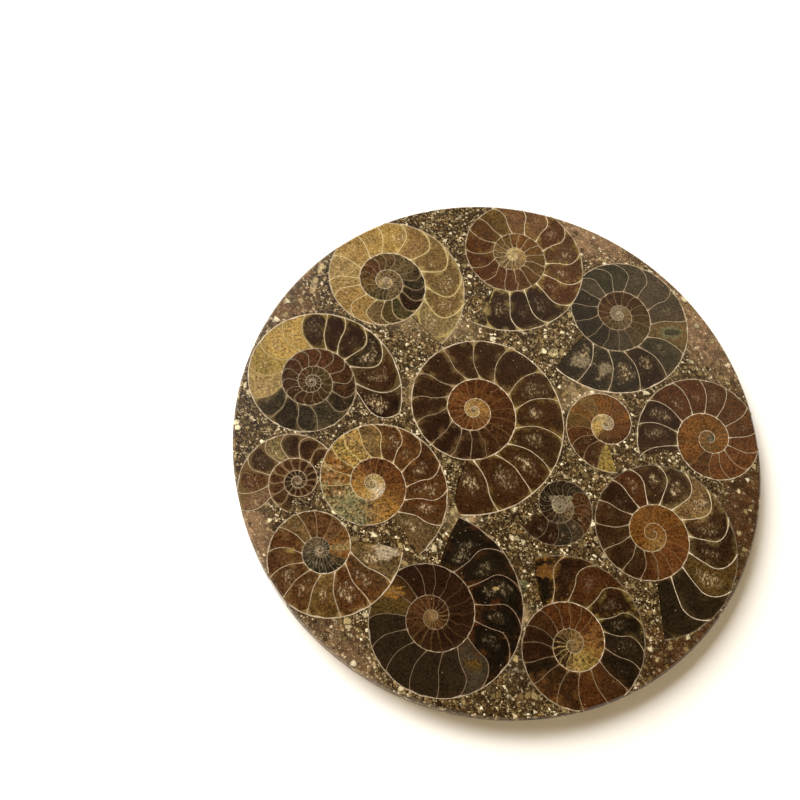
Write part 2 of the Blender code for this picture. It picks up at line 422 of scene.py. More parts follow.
# %% Shells of the middle
AMMONITES += [
    Ammonite("umber", (-5.55, 4.95), 20.5, CLOCKWISE, -99, -98, 1.89, 0.085,
             septa=(278, 304, 324, 347, 13, 36, 64, 89, 113, 140, 165, 189, 219, 245), spacing=20,
             lean=[(0, 10, -7), (.1, 11, 0), (.2, 10, 5), (.45, 10, 4), (.58, 13, -2), (.68, 13, -8),
                   (.82, 13, -7), (.93, 10, 2)], bow=5,
             body="cocoa 0 .15, sepia .2, cocoa .28 .35, sepia .42 .78, umber .84 1, sepia 1.05, "
                  "cocoa 1.15, chestnut 1.34 1.5, rust 1.7, chestnut 1.88, rust 2.05, copper 2.2, "
                  "amber 2.4, honey 2.6, gold 3.2, violet 3.6",
             corner="dun 0, mustard .3, sand .5, tan 1, copper 1.5, sand 2.2",
             shell="ivory 0, pearl .3, chalk .45, horn .8 1, bronze 1.1, copper 1.6, tan 2",
             wall_colour="pearl 0 1, ivory 1.2 2",
             mood=[(0, .8, .5, .1, .5), (.3, .6, .4, 0, .4), (.42, .1, .2, 0, .3), (1, .05, .1, .1, .5),
                   (1.1, .05, .4, .3, .2), (2, .1, .6, .6, .2)]),
    Ammonite("rust", (19.9, 3.05), 9.6, ANTICLOCKWISE, -82, -88, 2.01, 0.197,
             septa=(255, 230, 207, 185, 160, 137, 113, 90), spacing=9,
             lean=[(0, 6, -12), (.1, 14, 6), (.4, 11, 6), (.6, 2, 6), (.9, -4, -2)], wall=0.165,
             body="mustard 0 .05, cocoa .08 .17, chestnut .23, bronze .3, copper .36, dun .43, "
                  "toffee .5 .56, rust .6, brown .66, toffee .735, chestnut .76, brown .8, "
                  "chestnut .87 .9, cocoa .97 1.06, brown 1.12, gold 1.16 1.3, straw 1.47, ash 1.65, "
                  "bronze 1.83, sepia 2, sand 3",
             corner="mustard 0, tan .1, copper 1, tan 2",
             shell="horn 0, tan .4, rust .7 1.05, straw 1.2, pearl 2",
             wall_colour="chalk 0, pearl .5, ivory .9 2",
             mood=[(0, .3, .6, 1, 0), (.1, .2, .5, .4, .6), (.3, .1, .4, .2, .1), (.6, .1, .6, .5, .2),
                   (1, .2, .4, .4, .1), (1.6, .5, 1, 1, 0)]),
    Ammonite("brown", (40.2, 1.05), 14.8, ANTICLOCKWISE, -166, -158, 1.88, 0.154,
             septa=(191, 165, 141, 113, 87, 61, 33, 5, 339, 312, 286, 262, 234, 208), spacing=20,
             lean=[(0, 3, 5), (.1, 6, 6), (.25, 8, 6), (.45, 3, 5), (.55, -2, 8), (.68, 10, 8),
                   (.8, 13, 5), (.9, 12, -8)], wall=0.165,
             body="sepia 0 .045, umber .115, chestnut .19 .26, brown .33 .5, rust .6 .8, brown .85, "
                  "toffee .92 1.35, copper 1.52, toffee 1.7, bronze 1.9, copper 2.06, pink 2.24, "
                  "moss 2.42, teal 2.6",
             corner="drab 0, bronze 1, dun 2",
             shell="pearl 0 .5, tan .9, copper 1.3, tan 2",
             wall_colour="pearl 0, horn .5, pearl .7, ivory 1.2 2",
             mood=[(0, .6, .6, .2, .3), (.3, .3, .4, .2, .2), (.7, .1, .6, .4, .4), (1, .1, .8, .7, .2),
                   (1.5, .1, .5, .4, .1), (2, .3, .9, .7, .1)]),
    Ammonite("webbed", (-38.0, -9.8), 11.1, ANTICLOCKWISE, -150, -146, 2.00, 0.02,
             septa=(197, 168, 139, 117, 90, 63), spacing=26, bow=6, closed=True,
             lean=[(0, -8, 0), (.12, 2, -14), (.2, -4, -12), (.4, -4, -14), (1, -4, -8), (2, -2, -2)],
             broken=(0.46, 0.87), cut_by="ember", wall=0.22, round=(0.54, 0.54), lining=0.08, crinkled=0.1,
             body="rose 0 .03, brown .08, umber .157, khaki .228, umber .296 .35, cocoa .4 .48, "
                  "sepia .52 .73, olive .77 .84, sepia .89, cocoa .95, brown 1.15, cocoa 1.33, umber 1.5, "
                  "cocoa 1.7, sepia 1.87, soot 2.05, jet 2.3 2.7, umber 3",
             corner="dun 0, tan 1 3",
             shell="chalk 0, horn 1, clay 1.3 3",
             wall_colour="chalk 0 1, pearl 1.2, chalk 2",
             mood=[(0, .7, .9, .5, .3), (.08, .6, .8, .4, .3), (.16, .2, .3, .1, .1), (.23, .7, .6, .6, .2),
                   (.3, .1, .3, .1, .2), (1, .1, .2, .1, .3)]),
    Ammonite("ember", (-24.65, -9.9), 15.3, CLOCKWISE, -56, -56, 2.02, 0.077,
             septa=(325, 345, 6, 32, 55, 79, 104, 125, 143, 162, 185, 210, 235, 260, 285), spacing=19,
             lean=[(.03, 13, 0), (.1, 11, -12), (.25, 9, -15), (.37, 9, -13), (.45, 12, 0), (.52, 8, 6),
                   (.62, 0, 8), (.75, 8, -6), (.95, 10, -6)],
             body="pink 0, drab .03, chestnut .09, brown .14, cocoa .2, brown .27, chestnut .34, dun .41, "
                  "honey .47, mustard .52, toffee .58, copper .66, khaki .71, sage .77 .84, tan .91, "
                  "amber .97 1.03, rust 1.14, chestnut 1.32, rust 1.5, amber 1.65 1.74, gold 1.86, "
                  "pearl 2.04, honey 2.2, straw 2.4, pink 2.5, drab 2.9",
             corner="dun 0, copper .2, gold .5, lichen .68, honey .9, copper 1.2, sand 2",
             shell="pearl 0 .3, cream .4, straw .7, tan 1, rust 1.1, copper 1.5, straw 1.8, cream 2.2",
             wall_colour="chalk 0, pearl .4, chalk .8, pearl 1.2 2",
             mood=[(0, .7, .8, .4, .3), (.2, .8, .6, .2, .7), (.38, .3, .4, .3, .4), (.47, .6, .8, 1, .6),
                   (.66, .4, .8, 1, .8), (.7, 1, 1, 1, .8), (.84, 1, 1, 1, .8), (.9, .4, .6, 1, .6),
                   (1.1, .1, .4, .5, .2), (1.6, .2, .6, .9, .3), (2, .2, .4, .5, .1)],
             patches=[((3.4, 11.6), 2.2, 1.5, "sand")]),
]
print([f"{fossil.name}: {fossil.turns:.2f} turns, {len(fossil.septa)} septa" for fossil in AMMONITES[4:]])

# %% [markdown]
# The shells of the lower part, most of them very dark. All but one have a patch of another mineral in
# a chamber, and two of them light up from orange to gold in their inner turns.

# %% Shells of the lower part
AMMONITES += [
    Ammonite("slate", (9.9, -13.1), 8.3, CLOCKWISE, -151, -157, 2.13, 0.057,
             septa=(237, 263, 289, 315, 340, 5, 40), spacing=20, wall=0.15,
             lean=[(0, 11, 6), (.2, 5, 8), (.4, 7, 9), (.55, 9, 18), (.8, 9, 10)],
             body="umber 0 .12, charcoal .19, graphite .25, cocoa .32, brown .4 .48, charcoal .56, "
                  "night .62 .73, soot .78, night .86, soot .95, umber 1, charcoal 1.12, drab 1.3, "
                  "ash 1.48, loam 1.66, clay 1.84, lichen 2.02, clay 2.2, loam 2.38 3",
             corner="drab 0 1, sage 2",
             shell="clay 0 .9, horn 1.3, chalk 1.8",
             wall_colour="clay 0, horn .4 1.4, chalk 2",
             mood=[(0, .3, .7, .3, .2), (.33, .3, .9, .5, .2), (.5, .2, .4, .4, .2), (1, .3, 1, .5, .1),
                   (1.6, .6, 1, 1, .1)],
             patches=[((1.9, 1.7), 1.2, 0.7, "lichen"), ((-1.3, 1.5), 1.6, 1.2, "ash")]),
    Ammonite("amber", (26.9, -17.75), 19.05, CLOCKWISE, -89, -90, 2.06, 0.075,
             septa=(287, 308, 331, 354, 18, 42, 68, 94, 118, 144, 172, 197, 227, 253), spacing=21,
             lean=[(.05, -2, -14), (.2, -2, -18), (.3, -7, -21), (.4, -4, -12), (.5, 0, -12),
                   (.58, 6, -6), (.66, 10, -4), (.74, 13, 3), (.8, 10, -3), (.88, 14, 0), (.95, 14, 4)],
             body="night 0 .08, bronze .133, umber .2, sepia .26, tan .33, sepia .395 .47, chestnut .54, "
                  "umber .61, cocoa .68, sepia .75 .92, chestnut .98, rust 1.04 1.16, toffee 1.34, "
                  "copper 1.52, toffee 1.7 1.88, honey 2.06, copper 2.25, rust 2.42, copper 2.6, umber 3.4",
             corner="olive 0, drab .15, straw .3, drab .5, dun 1, copper 1.5, amber 2",
             shell="ivory 0 .5, chalk .7, horn 1, copper 1.1, amber 2",
             wall_colour="clay 0 .6, chalk .9, pearl 1.2 2",
             mood=[(0, .1, .4, .1, .3), (.09, .1, .4, .1, .5), (.133, 1, .8, .6, .4), (.2, .4, .3, .2, .5),
                   (.26, .6, .8, .2, .3), (.325, .6, .8, .9, .4), (.4, .9, .8, .2, .5), (.47, .9, .6, .1, .4),
                   (.6, .2, .2, .1, .3), (1, .05, .2, .2, .3), (2, .1, .6, .5, .2)]),
    Ammonite("chestnut", (-33.65, -22.15), 14.6, ANTICLOCKWISE, 0, 17, 2.55, 0.073,
             septa=(341, 317, 289, 261, 233, 206, 177, 148, 122, 98, 70, 44, 18), spacing=18,
             lean=[(.05, 17, -5), (.2, 18, 0), (.3, 12, -1), (.4, 13, 4), (.5, 14, 7), (.65, 5, 2),
                   (.9, 8, 2)], wall=0.19,
             body="bronze 0, drab .026, brown .086, chestnut .16, bronze .24, brown .32 .5, chestnut .55, "
                  "dun .62, brown .7 .78, pink .84, copper .92, sand .975, toffee 1.03, slate 1.08, "
                  "charcoal 1.14, slate 1.32, loam 1.5, drab 1.68, night 1.86, jet 2.04, drab 2.2, "
                  "rose 2.6",
             corner="sand 0, amber .1, sand .2, dun .5, drab 1, moss 2",
             shell="pearl 0, chalk .3 .6, tan .8 1, clay 1.1 1.5, chalk 2",
             wall_colour="pearl 0, chalk .5, pearl .9, ivory 1.2, horn 1.6, clay 1.9",
             mood=[(0, 1, .9, .5, .6), (.026, 1, 1, .6, .6), (.086, .6, .9, .4, .7), (.2, .8, .7, .2, .4),
                   (.45, .3, .3, .2, .6), (.6, .3, .6, .5, .5), (.9, .1, .6, .6, .2), (1.1, .5, 1, .5, .1),
                   (2, .6, .8, .4, .1)],
             patches=[((-4.9, -0.2), 1.6, 1.1, "mustard"), ((11.7, 0.3), 4.2, 3.2, "chalk")]),
    Ammonite("black", (-13.9, -33.2), 18.3, ANTICLOCKWISE, 74, 82, 1.90, 0.093,
             septa=(55, 34, 11, 349, 323, 300, 275, 248, 224, 201, 177, 148, 128, 105), spacing=20,
             lean=[(.05, 9, -14), (.12, 5, -18), (.3, 7, -20), (.38, 10, -12), (.45, 11, -2),
                   (.52, 11, 4), (.65, 5, 6), (.75, 1, 6), (.95, 4, 6)], cut_by="chestnut",
             body="soot 0 .1, jet .14 .3, loam .34, night .4 .7, olive .73, bronze .79, cocoa .83, "
                  "umber .88 1.4, sepia 1.5, cocoa 1.66, brown 1.84, umber 2.02, sepia 2.2, brown 2.37, "
                  "bronze 2.55, tan 2.8",
             corner="cocoa 0, chestnut .1 .3, cocoa .4, umber 1, tan 2",
             shell="horn 0 .25, clay .4 .9, brown 1.1, bronze 1.6, tan 2",
             wall_colour="horn 0, chalk .4, horn .9, chalk 1.2, horn 2",
             mood=[(0, .4, .5, 0, .7), (.15, .4, .4, 0, .9), (.35, .2, .2, 0, .8), (.45, .1, .1, 0, .1),
                   (1, .05, .1, .1, .3), (2, .1, .5, .4, .1)],
             patches=[((7.1, -8.0), 3.4, 2.1, "olive"), ((7.1, -7.9), 2.5, 1.4, "bronze"),
                      ((11.2, 5), 1.2, 0.5, "straw"), ((-6.9, 4.0), 3.4, 2.2, "amber")]),
    Ammonite("honey", (10.5, -37.6), 16.05, ANTICLOCKWISE, 111, 127, 1.85, 0.125,
             septa=(103, 83, 57, 31, 9, 346, 322, 299, 274, 249, 225, 203, 177, 155, 130), spacing=20,
             lean=[(0, 12, -12), (.15, 7, -18), (.28, 13, -16), (.36, 8, -4), (.5, 7, 3), (.62, 9, 2),
                   (.72, 7, -6), (.85, 13, 4)],
             body="soot 0, umber .05, chestnut .11, umber .18, soot .25, night .31, soot .38, cocoa .44, "
                  "chestnut .52, sepia .58 .65, soot .71, umber .78 .85, cocoa .92, chestnut .97 1.15, "
                  "copper 1.33, mustard 1.45, honey 1.55, umber 1.62 1.7 1.9, bronze 2.05, tan 2.2 2.4, "
                  "drab 2.6",
             corner="amber 0, olive .1, mustard .2, cocoa .3, copper .6, cocoa .9, copper 1.2, gold 1.5, "
                    "sand 2",
             shell="chalk 0 .15, horn .4, clay .8 1, tan 1.3, straw 1.6, tan 2",
             wall_colour="clay 0 .25, chalk .5, horn .8, ivory 1.2, chalk 2",
             mood=[(0, .1, .3, .2, 1), (.1, .2, .3, .1, .8), (.18, .4, .8, .7, 1), (.28, .2, .5, .1, .3),
                   (.6, .1, .2, .1, .8), (.9, .1, .1, .1, .3), (1.1, .1, .3, .4, .3), (1.4, .2, .5, .8, .5),
                   (2, .2, .9, .8, .2)],
             patches=[((-4.3, 12.6), 3.0, 2.6, "copper")]),
]
CAD_NODE = {fossil.name: f"ammonite_{number:02d}_{fossil.name}" for number, fossil in enumerate(AMMONITES, 1)}
BY_NAME = {fossil.name: fossil for fossil in AMMONITES}
print([f"{fossil.name}: {fossil.turns:.2f} turns, {len(fossil.septa)} septa" for fossil in AMMONITES[9:]])


# %% [markdown]
# ## Where a shell ends
# The saw and the grinder cut every shell that reaches the rim, and in the block three shells were
# already broken by a neighbour. A point is kept if it lies inside the rim and outside the neighbour's
# outer wall, which is the same spiral formula read the other way: from an angle to a reach.

# %% Inside test
COARSE_STEPS = 40
HALVINGS = 16


def kept(fossil, points, rim):
    """True where a point is inside a rim of that radius, and outside the shell that cuts this one."""
    inside = np.hypot(points[..., 0], points[..., 1]) <= rim
    if fossil.cut_by:
        other = BY_NAME[fossil.cut_by]
        away = points - other.centre
        angle = np.degrees(np.arctan2(away[..., 1], away[..., 0]))
        t = np.mod((other.mouth - angle) * other.hand, 360) / 360
        inside &= np.hypot(away[..., 0], away[..., 1]) > other.reach(t)
    return inside


def share_kept(fossil, line, count, rim):
    """For lines across the tube, the share of each that is kept: a coarse search, then halving.

    `line` turns an array of places across, one row for each of `count` lines, into points.
    """
    coarse = np.broadcast_to(np.linspace(0, 1, COARSE_STEPS), (count, COARSE_STEPS))
    inside = kept(fossil, line(coarse), rim)
    whole = inside.all(axis=1)
    first_out = np.where(whole, COARSE_STEPS - 1, inside.argmin(axis=1))
    low = coarse[0, np.maximum(first_out - 1, 0)]
    high = coarse[0, first_out]
    for _ in range(HALVINGS):
        middle = (low + high) / 2
        good = kept(fossil, line(middle[:, None])[:, 0], rim)
        low, high = np.where(good, middle, low), np.where(good, high, middle)
    return np.where(whole, 1.0, low)


print(f"rim at {SLAB_RADIUS:.2f} mm")

# %% [markdown]
# ## The cut face of a fossil
# It is one surface of two parameters: how far back along the spiral, in columns, and how far across
# the tube, in rows. The last chamber's edge is slanted and swollen, and the swelling fades out within
# the first eighth of a turn. Where the rim or a neighbour cuts the shell, the rows are pushed together
# on the part that is left.

# %% Cut face
COLUMNS_PER_TURN = 180
ROWS = 8
SWELLING_FADES = 8            # the swelling is gone after a turn divided by this


def cut_face(fossil, rim):
    """Points of the cut face as [column, row], their turns, places across and tube height, and the lead.

    A point is at the radius inner + (outer - inner) * across, t turns back. The lead is how many
    columns further back the inner end of a line across the tube lies.
    """
    lead = round(fossil.hand * (fossil.mouth - fossil.foot) / 360 * COLUMNS_PER_TURN)
    columns = np.arange(int(fossil.turns * COLUMNS_PER_TURN) + 1)[:, None]

    def tube(across):
        fade = np.clip(1 - columns * SWELLING_FADES / COLUMNS_PER_TURN, 0, 1)
        swell = fossil.bow * 4 * across * (1 - across) / 360
        t = (columns + lead * (1 - across)) / COLUMNS_PER_TURN - swell * fade
        inner = fossil.reach((columns + lead) / COLUMNS_PER_TURN + 1)
        outer = fossil.reach(columns / COLUMNS_PER_TURN)
        return fossil.point(inner + (outer - inner) * across, t), t, outer - inner

    limit = share_kept(fossil, lambda across: tube(across)[0], len(columns), rim)
    across = np.linspace(0, 1, ROWS + 1)[None, :] * limit[:, None]
    points, t, height = tube(across)
    return points, t, across, np.broadcast_to(height, t.shape), lead


def known_at(fossil, points, t, across, height):
    """What the finish needs to know: (turns, chamber, across) and (chamber length, height, 0) in mm.

    A chamber's length in turns is read between the middles of the chambers, and times the way round
    at a point's distance from the centre it is the length there.
    """
    along = fossil.along(across, t)
    middles = (fossil.septa[1:] + fossil.septa[:-1]) / 2
    turns_long = np.interp(along, middles, np.diff(fossil.septa))
    length = turns_long * 2 * np.pi * np.hypot(*np.moveaxis(points - fossil.centre, -1, 0))
    place = np.stack([along, fossil.chamber(along), across], axis=-1)
    room = np.stack([length, height, np.zeros_like(t)], axis=-1)
    return place.reshape(-1, 3), room.reshape(-1, 3)


print(COLUMNS_PER_TURN * ROWS, "faces a turn")

# %% [markdown]
# ## The calcite filling
# The outer edge of one turn is the inner edge of the next, so the two are welded, and a fan closes
# the first chamber in the middle. The face is copied to the underside, and its free edge becomes the
# side wall, which follows the rim's chamfer. What the finish needs is kept at every corner of a face,
# because two turns that share a point differ in it.

# %% Faces of the calcite
MIDDLE_ROOM = (0.1, 0.1, 0)   # length and height in mm taken for the very middle of the spiral


def link_object(name, verts, faces, material):
    """A mesh object of these points and faces, with its place in its mesh."""
    mesh = bpy.data.meshes.new(name)
    mesh.from_pydata(np.asarray(verts).tolist(), [], faces)
    mesh.materials.append(material)
    made = bpy.data.objects.new(name, mesh)
    bpy.context.scene.collection.objects.link(made)
    return made


def corner_attribute(mesh, name, values):
    """Keeps three numbers at every corner of a face."""
    layer = mesh.attributes.new(name, "FLOAT_VECTOR", "CORNER")
    layer.data.foreach_set("vector", np.asarray(values, np.float32).ravel())


def face_pattern(fossil, shape, shift):
    """Quads of the strip [face, corner], the triangles of the fan, and the weld: which point is which."""
    columns = shape[0]
    own = np.arange(shape[0] * shape[1]).reshape(shape)
    weld = own.copy()
    weld[:columns - shift, 0] = own[shift:, -1]
    quads = np.stack([own[:-1, :-1], own[1:, :-1], own[1:, 1:], own[:-1, 1:]], axis=-1)
    if fossil.broken:
        start, end = (np.array(fossil.broken) * COLUMNS_PER_TURN).round().astype(int)
        quads = np.concatenate([quads[:start], quads[end:]])
    quads = quads.reshape(-1, 4)
    loop = np.concatenate([own[columns - shift - 1:, 0], own[-1, 1:-1]])
    if fossil.hand == CLOCKWISE:
        quads = quads[:, ::-1]
    else:
        loop = loop[::-1]
    fan = np.stack([loop, np.roll(loop, -1), np.full(len(loop), own.size)], axis=-1)
    return quads, fan, np.append(weld.ravel(), own.size)


print("strips, fans and welds ready")


# %% Closed body
def calcite_piece(fossil, material):
    """The filled chambers of one fossil: a closed body from the cut face above to the one below."""
    face, t, across, height, lead = cut_face(fossil, SLAB_RADIUS - EDGE_CHAMFER)
    side = cut_face(fossil, SLAB_RADIUS)[0]
    place, room = known_at(fossil, face, t, across, height)
    place = np.vstack([place, [fossil.turns, len(fossil.septa), 0]])
    room = np.vstack([room, MIDDLE_ROOM])
    face_xy = np.vstack([face.reshape(-1, 2), fossil.centre])
    side_xy = np.vstack([side.reshape(-1, 2), fossil.centre])

    # an edge that only one face has is free, and a wall hangs from it
    quads, fan, weld = face_pattern(fossil, t.shape, COLUMNS_PER_TURN + lead)
    edges = np.vstack([np.stack([faces, np.roll(faces, -1, axis=1)], axis=-1).reshape(-1, 2)
                       for faces in (quads, fan)])
    ends = np.sort(weld[edges], axis=1)
    _, which, times = np.unique(ends, axis=0, return_inverse=True, return_counts=True)
    free = edges[times[which.ravel()] == 1]

    # the four levels of points: the faces, and the chamfers' lower and upper edges between them
    count = len(weld)
    levels = [(face_xy, SLAB_TOP), (side_xy, SLAB_TOP - EDGE_CHAMFER),
              (side_xy, EDGE_CHAMFER), (face_xy, 0.0)]
    verts = np.vstack([np.column_stack([xy, np.full(count, z)]) for xy, z in levels]) * MM
    here, after = free[:, 0], free[:, 1]
    walls = np.vstack([np.stack([after, here, here + count, after + count], axis=-1) + level * count
                       for level in range(len(levels) - 1)])

    # the faces of the top and, turned over, of the underside; then the points not used are dropped
    under = count * (len(levels) - 1)
    four = np.vstack([quads, quads[:, ::-1] + under, walls])
    three = np.vstack([fan, fan[:, ::-1] + under])
    corners = np.concatenate([four.ravel(), three.ravel()])
    layer, local = corners // count, corners % count
    used, compact = np.unique(layer * count + weld[local], return_inverse=True)
    compact = compact.ravel()
    faces = compact[:four.size].reshape(-1, 4).tolist() + compact[four.size:].reshape(-1, 3).tolist()
    made = link_object(f"{fossil.name}_calcite", verts[used], faces, material)
    corner_attribute(made.data, "place", place[local])
    corner_attribute(made.data, "room", room[local])
    return made


print(f"calcite bodies {SLAB_TOP:.2f} mm high")

# %% [markdown]
# ## The shell walls
# The wall of the tube and the septa that part the chambers are thin plates that stand upright through
# the slab, so each is a ribbon: a path in plan, with a width at every point, raised from the bottom
# face to the top one. They stand a hair prouder than the calcite, as the harder shell does after
# polishing.

# %% Ribbons
TINY = 1e-12                  # keeps a step of no length from dividing by nought


def ribbons(paths, widths, proud):
    """Closed upright strips along paths [strip, point, xy], with a width at every point.

    Each point gives four corners, half the width to either side, above and below; a cap closes each
    end.
    """
    along = np.gradient(paths, axis=1)
    along /= np.linalg.norm(along, axis=-1, keepdims=True) + TINY
    normal = np.stack([along[..., 1], -along[..., 0]], axis=-1)
    right, left = (paths + normal * widths[..., None] * half for half in (0.5, -0.5))
    strips, points = paths.shape[:2]
    verts = np.empty((strips, points, 4, 3))
    verts[:, :, 0, :2] = verts[:, :, 1, :2] = right
    verts[:, :, 2, :2] = verts[:, :, 3, :2] = left
    verts[:, :, (0, 3), 2] = -proud
    verts[:, :, (1, 2), 2] = SLAB_TOP + proud
    index = np.arange(strips * points * 4).reshape(strips, points, 4)
    here, after = index[:, :-1], index[:, 1:]
    sides = [np.stack([here[..., k], here[..., (k + 1) % 4], after[..., (k + 1) % 4], after[..., k]], axis=-1)
             for k in range(4)]
    caps = [index[:, 0, ::-1], index[:, -1]]
    faces = np.vstack([side.reshape(-1, 4) for side in sides] + caps)
    return verts.reshape(-1, 3), faces[:, ::-1]


print(f"ribbons from 0 to {SLAB_TOP:.2f} mm")

# %% [markdown]
# A septum is thinner than the wall and thickens where it joins it, in the flares that show as bright
# points. It is crinkled, the more so in the inner turns, where the young animal built it. The wall
# swells and thins a little along its way. Both get thinner where the tube is lower.

# %% Thickness and crinkle
FULL_HEIGHT = 7.0             # tube height in mm from which the wall has its full thickness
THINNEST = 0.24               # the least of height / FULL_HEIGHT that counts
THINNING = 0.6                # power of that share by which the wall thins
WAVES = (1.4, 2.9)            # waves across a septum
SHORT_WAVE = 0.5              # height of the shorter wave, as a share of the longer one's
OUTER_CRINKLE, INNER_CRINKLE = 0.003, 0.035           # their size, as shares of the tube's height
INNER_CHANCE = (0.3, 1.0)     # least and most of the inner crinkle that a septum gets by chance
INNER_TURNS = (0.9, 1.1)      # turns back between which the inner crinkle sets in


def thickness(fossil, height):
    """Wall thickness in mm: full where the tube is high, and a power of the height below that."""
    return fossil.wall * np.clip(height / FULL_HEIGHT, THINNEST, 1) ** THINNING


def seed(fossil):
    """A number of each shell's own, so that its chances are the same every time."""
    return int(fossil.radius * 100)


def crinkle(fossil, across, t, height):
    """Waves of a septum in mm: two sines of their own phase for each septum, still at both ends."""
    chance = np.random.default_rng(len(fossil.name) + seed(fossil))
    phase = chance.uniform(0, 2 * np.pi, (len(WAVES), len(t), 1))
    share = chance.uniform(*INNER_CHANCE, (len(t), 1))
    inner = np.interp(t, INNER_TURNS, (0, 1))[:, None]
    size = fossil.crinkled * (OUTER_CRINKLE + INNER_CRINKLE * share * inner) * height
    long, short = (np.sin(2 * np.pi * count * across + start) for count, start in zip(WAVES, phase))
    return size * np.sin(np.pi * np.clip(across, 0, 1)) ** 0.5 * (long + SHORT_WAVE * short)


print("waves across a septum:", WAVES)

# %% Septa
SEPTUM_POINTS = 25
SEPTUM_SHARE = 0.62           # a septum's thickness as a share of the wall's
FLARE = 2.4                   # how much thicker a septum is at its foot, in shares of its own
FLARE_REACH = (0.06, 0.1)     # how far a flare reaches: a share of the tube's height, and mm on top
FLARE_FOOT, FLARE_LIP = 1.6, 1.9      # the flare is shorter on the outer wall than on the inner one
LIP_START = 0.03              # and has faded a little where it starts there
LAST_SEPTUM = 0.4             # turns before the core at which the septa are too small to draw
SHORTEST = 0.25               # a septum that is cut to less than this share is left out
SEPTUM_RIM, WALL_RIM = 0.1, 0.15      # mm by which they keep inside the rim
WALL_PROUD = 0.008            # how far a wall stands above the polish, in mm
SEPTUM_PROUD = 0.005


def septa_ribbons(fossil):
    """One ribbon for each septum: at a place across the tube it lies `forward` of its own turn."""
    t = fossil.septa[fossil.septa < fossil.turns - LAST_SEPTUM]
    if fossil.broken:
        t = t[(t < fossil.broken[0]) | (t > fossil.broken[1])]
    height = (fossil.reach(t) - fossil.reach(t + 1))[:, None]

    def line(across):
        wave = crinkle(fossil, across, t, height) / (2 * np.pi * fossil.reach(t + 0.5)[:, None])
        place = t[:, None] - fossil.forward(across, t[:, None]) + wave
        inner, outer = fossil.reach(place + 1), fossil.reach(place)
        return fossil.point(inner + (outer - inner) * across, place)

    limit = share_kept(fossil, line, len(t), SLAB_RADIUS - SEPTUM_RIM)
    across = np.linspace(0, 1, SEPTUM_POINTS)[None, :] * limit[:, None]
    end = np.minimum(FLARE_FOOT * across, FLARE_LIP * (1 - across) + LIP_START) * height
    plain = thickness(fossil, height) * SEPTUM_SHARE
    share, extra = FLARE_REACH
    width = plain * (1 + FLARE * np.exp(-end / (share * height + extra)))
    long = limit > SHORTEST
    turns = np.broadcast_to(t[:, None], width.shape)
    return line(across)[long], width[long], turns[long]


def edge_ribbon(fossil):
    """The last septum, along the edge of a closed mouth."""
    across = np.linspace(0, 1, SEPTUM_POINTS)[None, :]
    t = fossil.edge(across)
    inner, outer = fossil.reach(fossil.edge(0.0) + 1), fossil.reach(0)
    path = fossil.point(inner + (outer - inner) * across, t)
    return path, np.full(t.shape, fossil.wall * SEPTUM_SHARE), np.zeros(t.shape)


print("septa of", SEPTUM_POINTS, "points")

# %% Walls
KNOTS = (11.3, 19.7, 31.1)    # waves a turn in which the wall swells and thins
KNOT_SIZE = 0.22              # by this share of its thickness
WALL_ENDS = 0.5               # turns before the core at which the wall is too thin to draw
FEWEST_POINTS = 4             # shorter runs of wall are left out
MOST_TURNS = 5.0              # no shell has more; the wall's turns are told apart by this much on top


def wall_ribbons(fossil):
    """The spiral wall, just inside its outer surface, parted where the saw or a neighbour took it."""
    t = np.arange(0, fossil.turns - WALL_ENDS, 1 / COLUMNS_PER_TURN)
    width = thickness(fossil, fossil.reach(t) - fossil.reach(t + 1))
    starts = np.random.default_rng(seed(fossil)).uniform(0, 2 * np.pi, len(KNOTS))
    for waves, start in zip(KNOTS, starts):
        width = width * (1 + KNOT_SIZE * np.sin(2 * np.pi * waves * t + start))
    path = fossil.point(fossil.reach(t) - width / 2, t)
    good = kept(fossil, path, SLAB_RADIUS - WALL_RIM)
    if fossil.broken:
        good &= (t < fossil.broken[0]) | (t > fossil.broken[1])
    runs = np.split(np.arange(len(t)), np.flatnonzero(np.diff(good.astype(int))) + 1)
    runs = [run for run in runs if good[run[0]] and len(run) >= FEWEST_POINTS]
    return [(path[None, run], width[None, run], t[None, run]) for run in runs]


def shell_piece(fossil, material):
    """All ribbons of one fossil in one mesh; a point knows how many turns back it lies."""
    septa = [septa_ribbons(fossil)] + ([edge_ribbon(fossil)] if fossil.closed else [])
    parts = [(*ribbon, SEPTUM_PROUD) for ribbon in septa]
    parts += [(path, width, t + MOST_TURNS, WALL_PROUD) for path, width, t in wall_ribbons(fossil)]
    made = [ribbons(paths, widths, proud) for paths, widths, _, proud in parts]
    starts = np.cumsum([0] + [len(verts) for verts, _ in made])
    verts = np.vstack([verts for verts, _ in made]) * MM
    faces = np.vstack([faces + start for (_, faces), start in zip(made, starts)])
    piece = link_object(f"{fossil.name}_shell", verts, faces.tolist(), material)
    layer = piece.data.attributes.new("turns", "FLOAT", "POINT")
    turns = np.concatenate([np.repeat(t.ravel(), 4) for _, _, t, _ in parts])
    layer.data.foreach_set("value", turns.astype(np.float32))
    return piece


print("walls of", COLUMNS_PER_TURN, "points a turn")

# %% [markdown]
# ## Spots and zones
# A patch of another mineral in a chamber, or a big chip in the stone, is a spot: an ellipse in plan
# whose edge is made ragged by noise, with a mottled colour like everything else that grew. A zone of
# the stone is broader and softer, a stain that lets the grains show through. Both are told by one
# measure, a point's distance from the centre in half sizes: 1 on the edge of the ellipse.

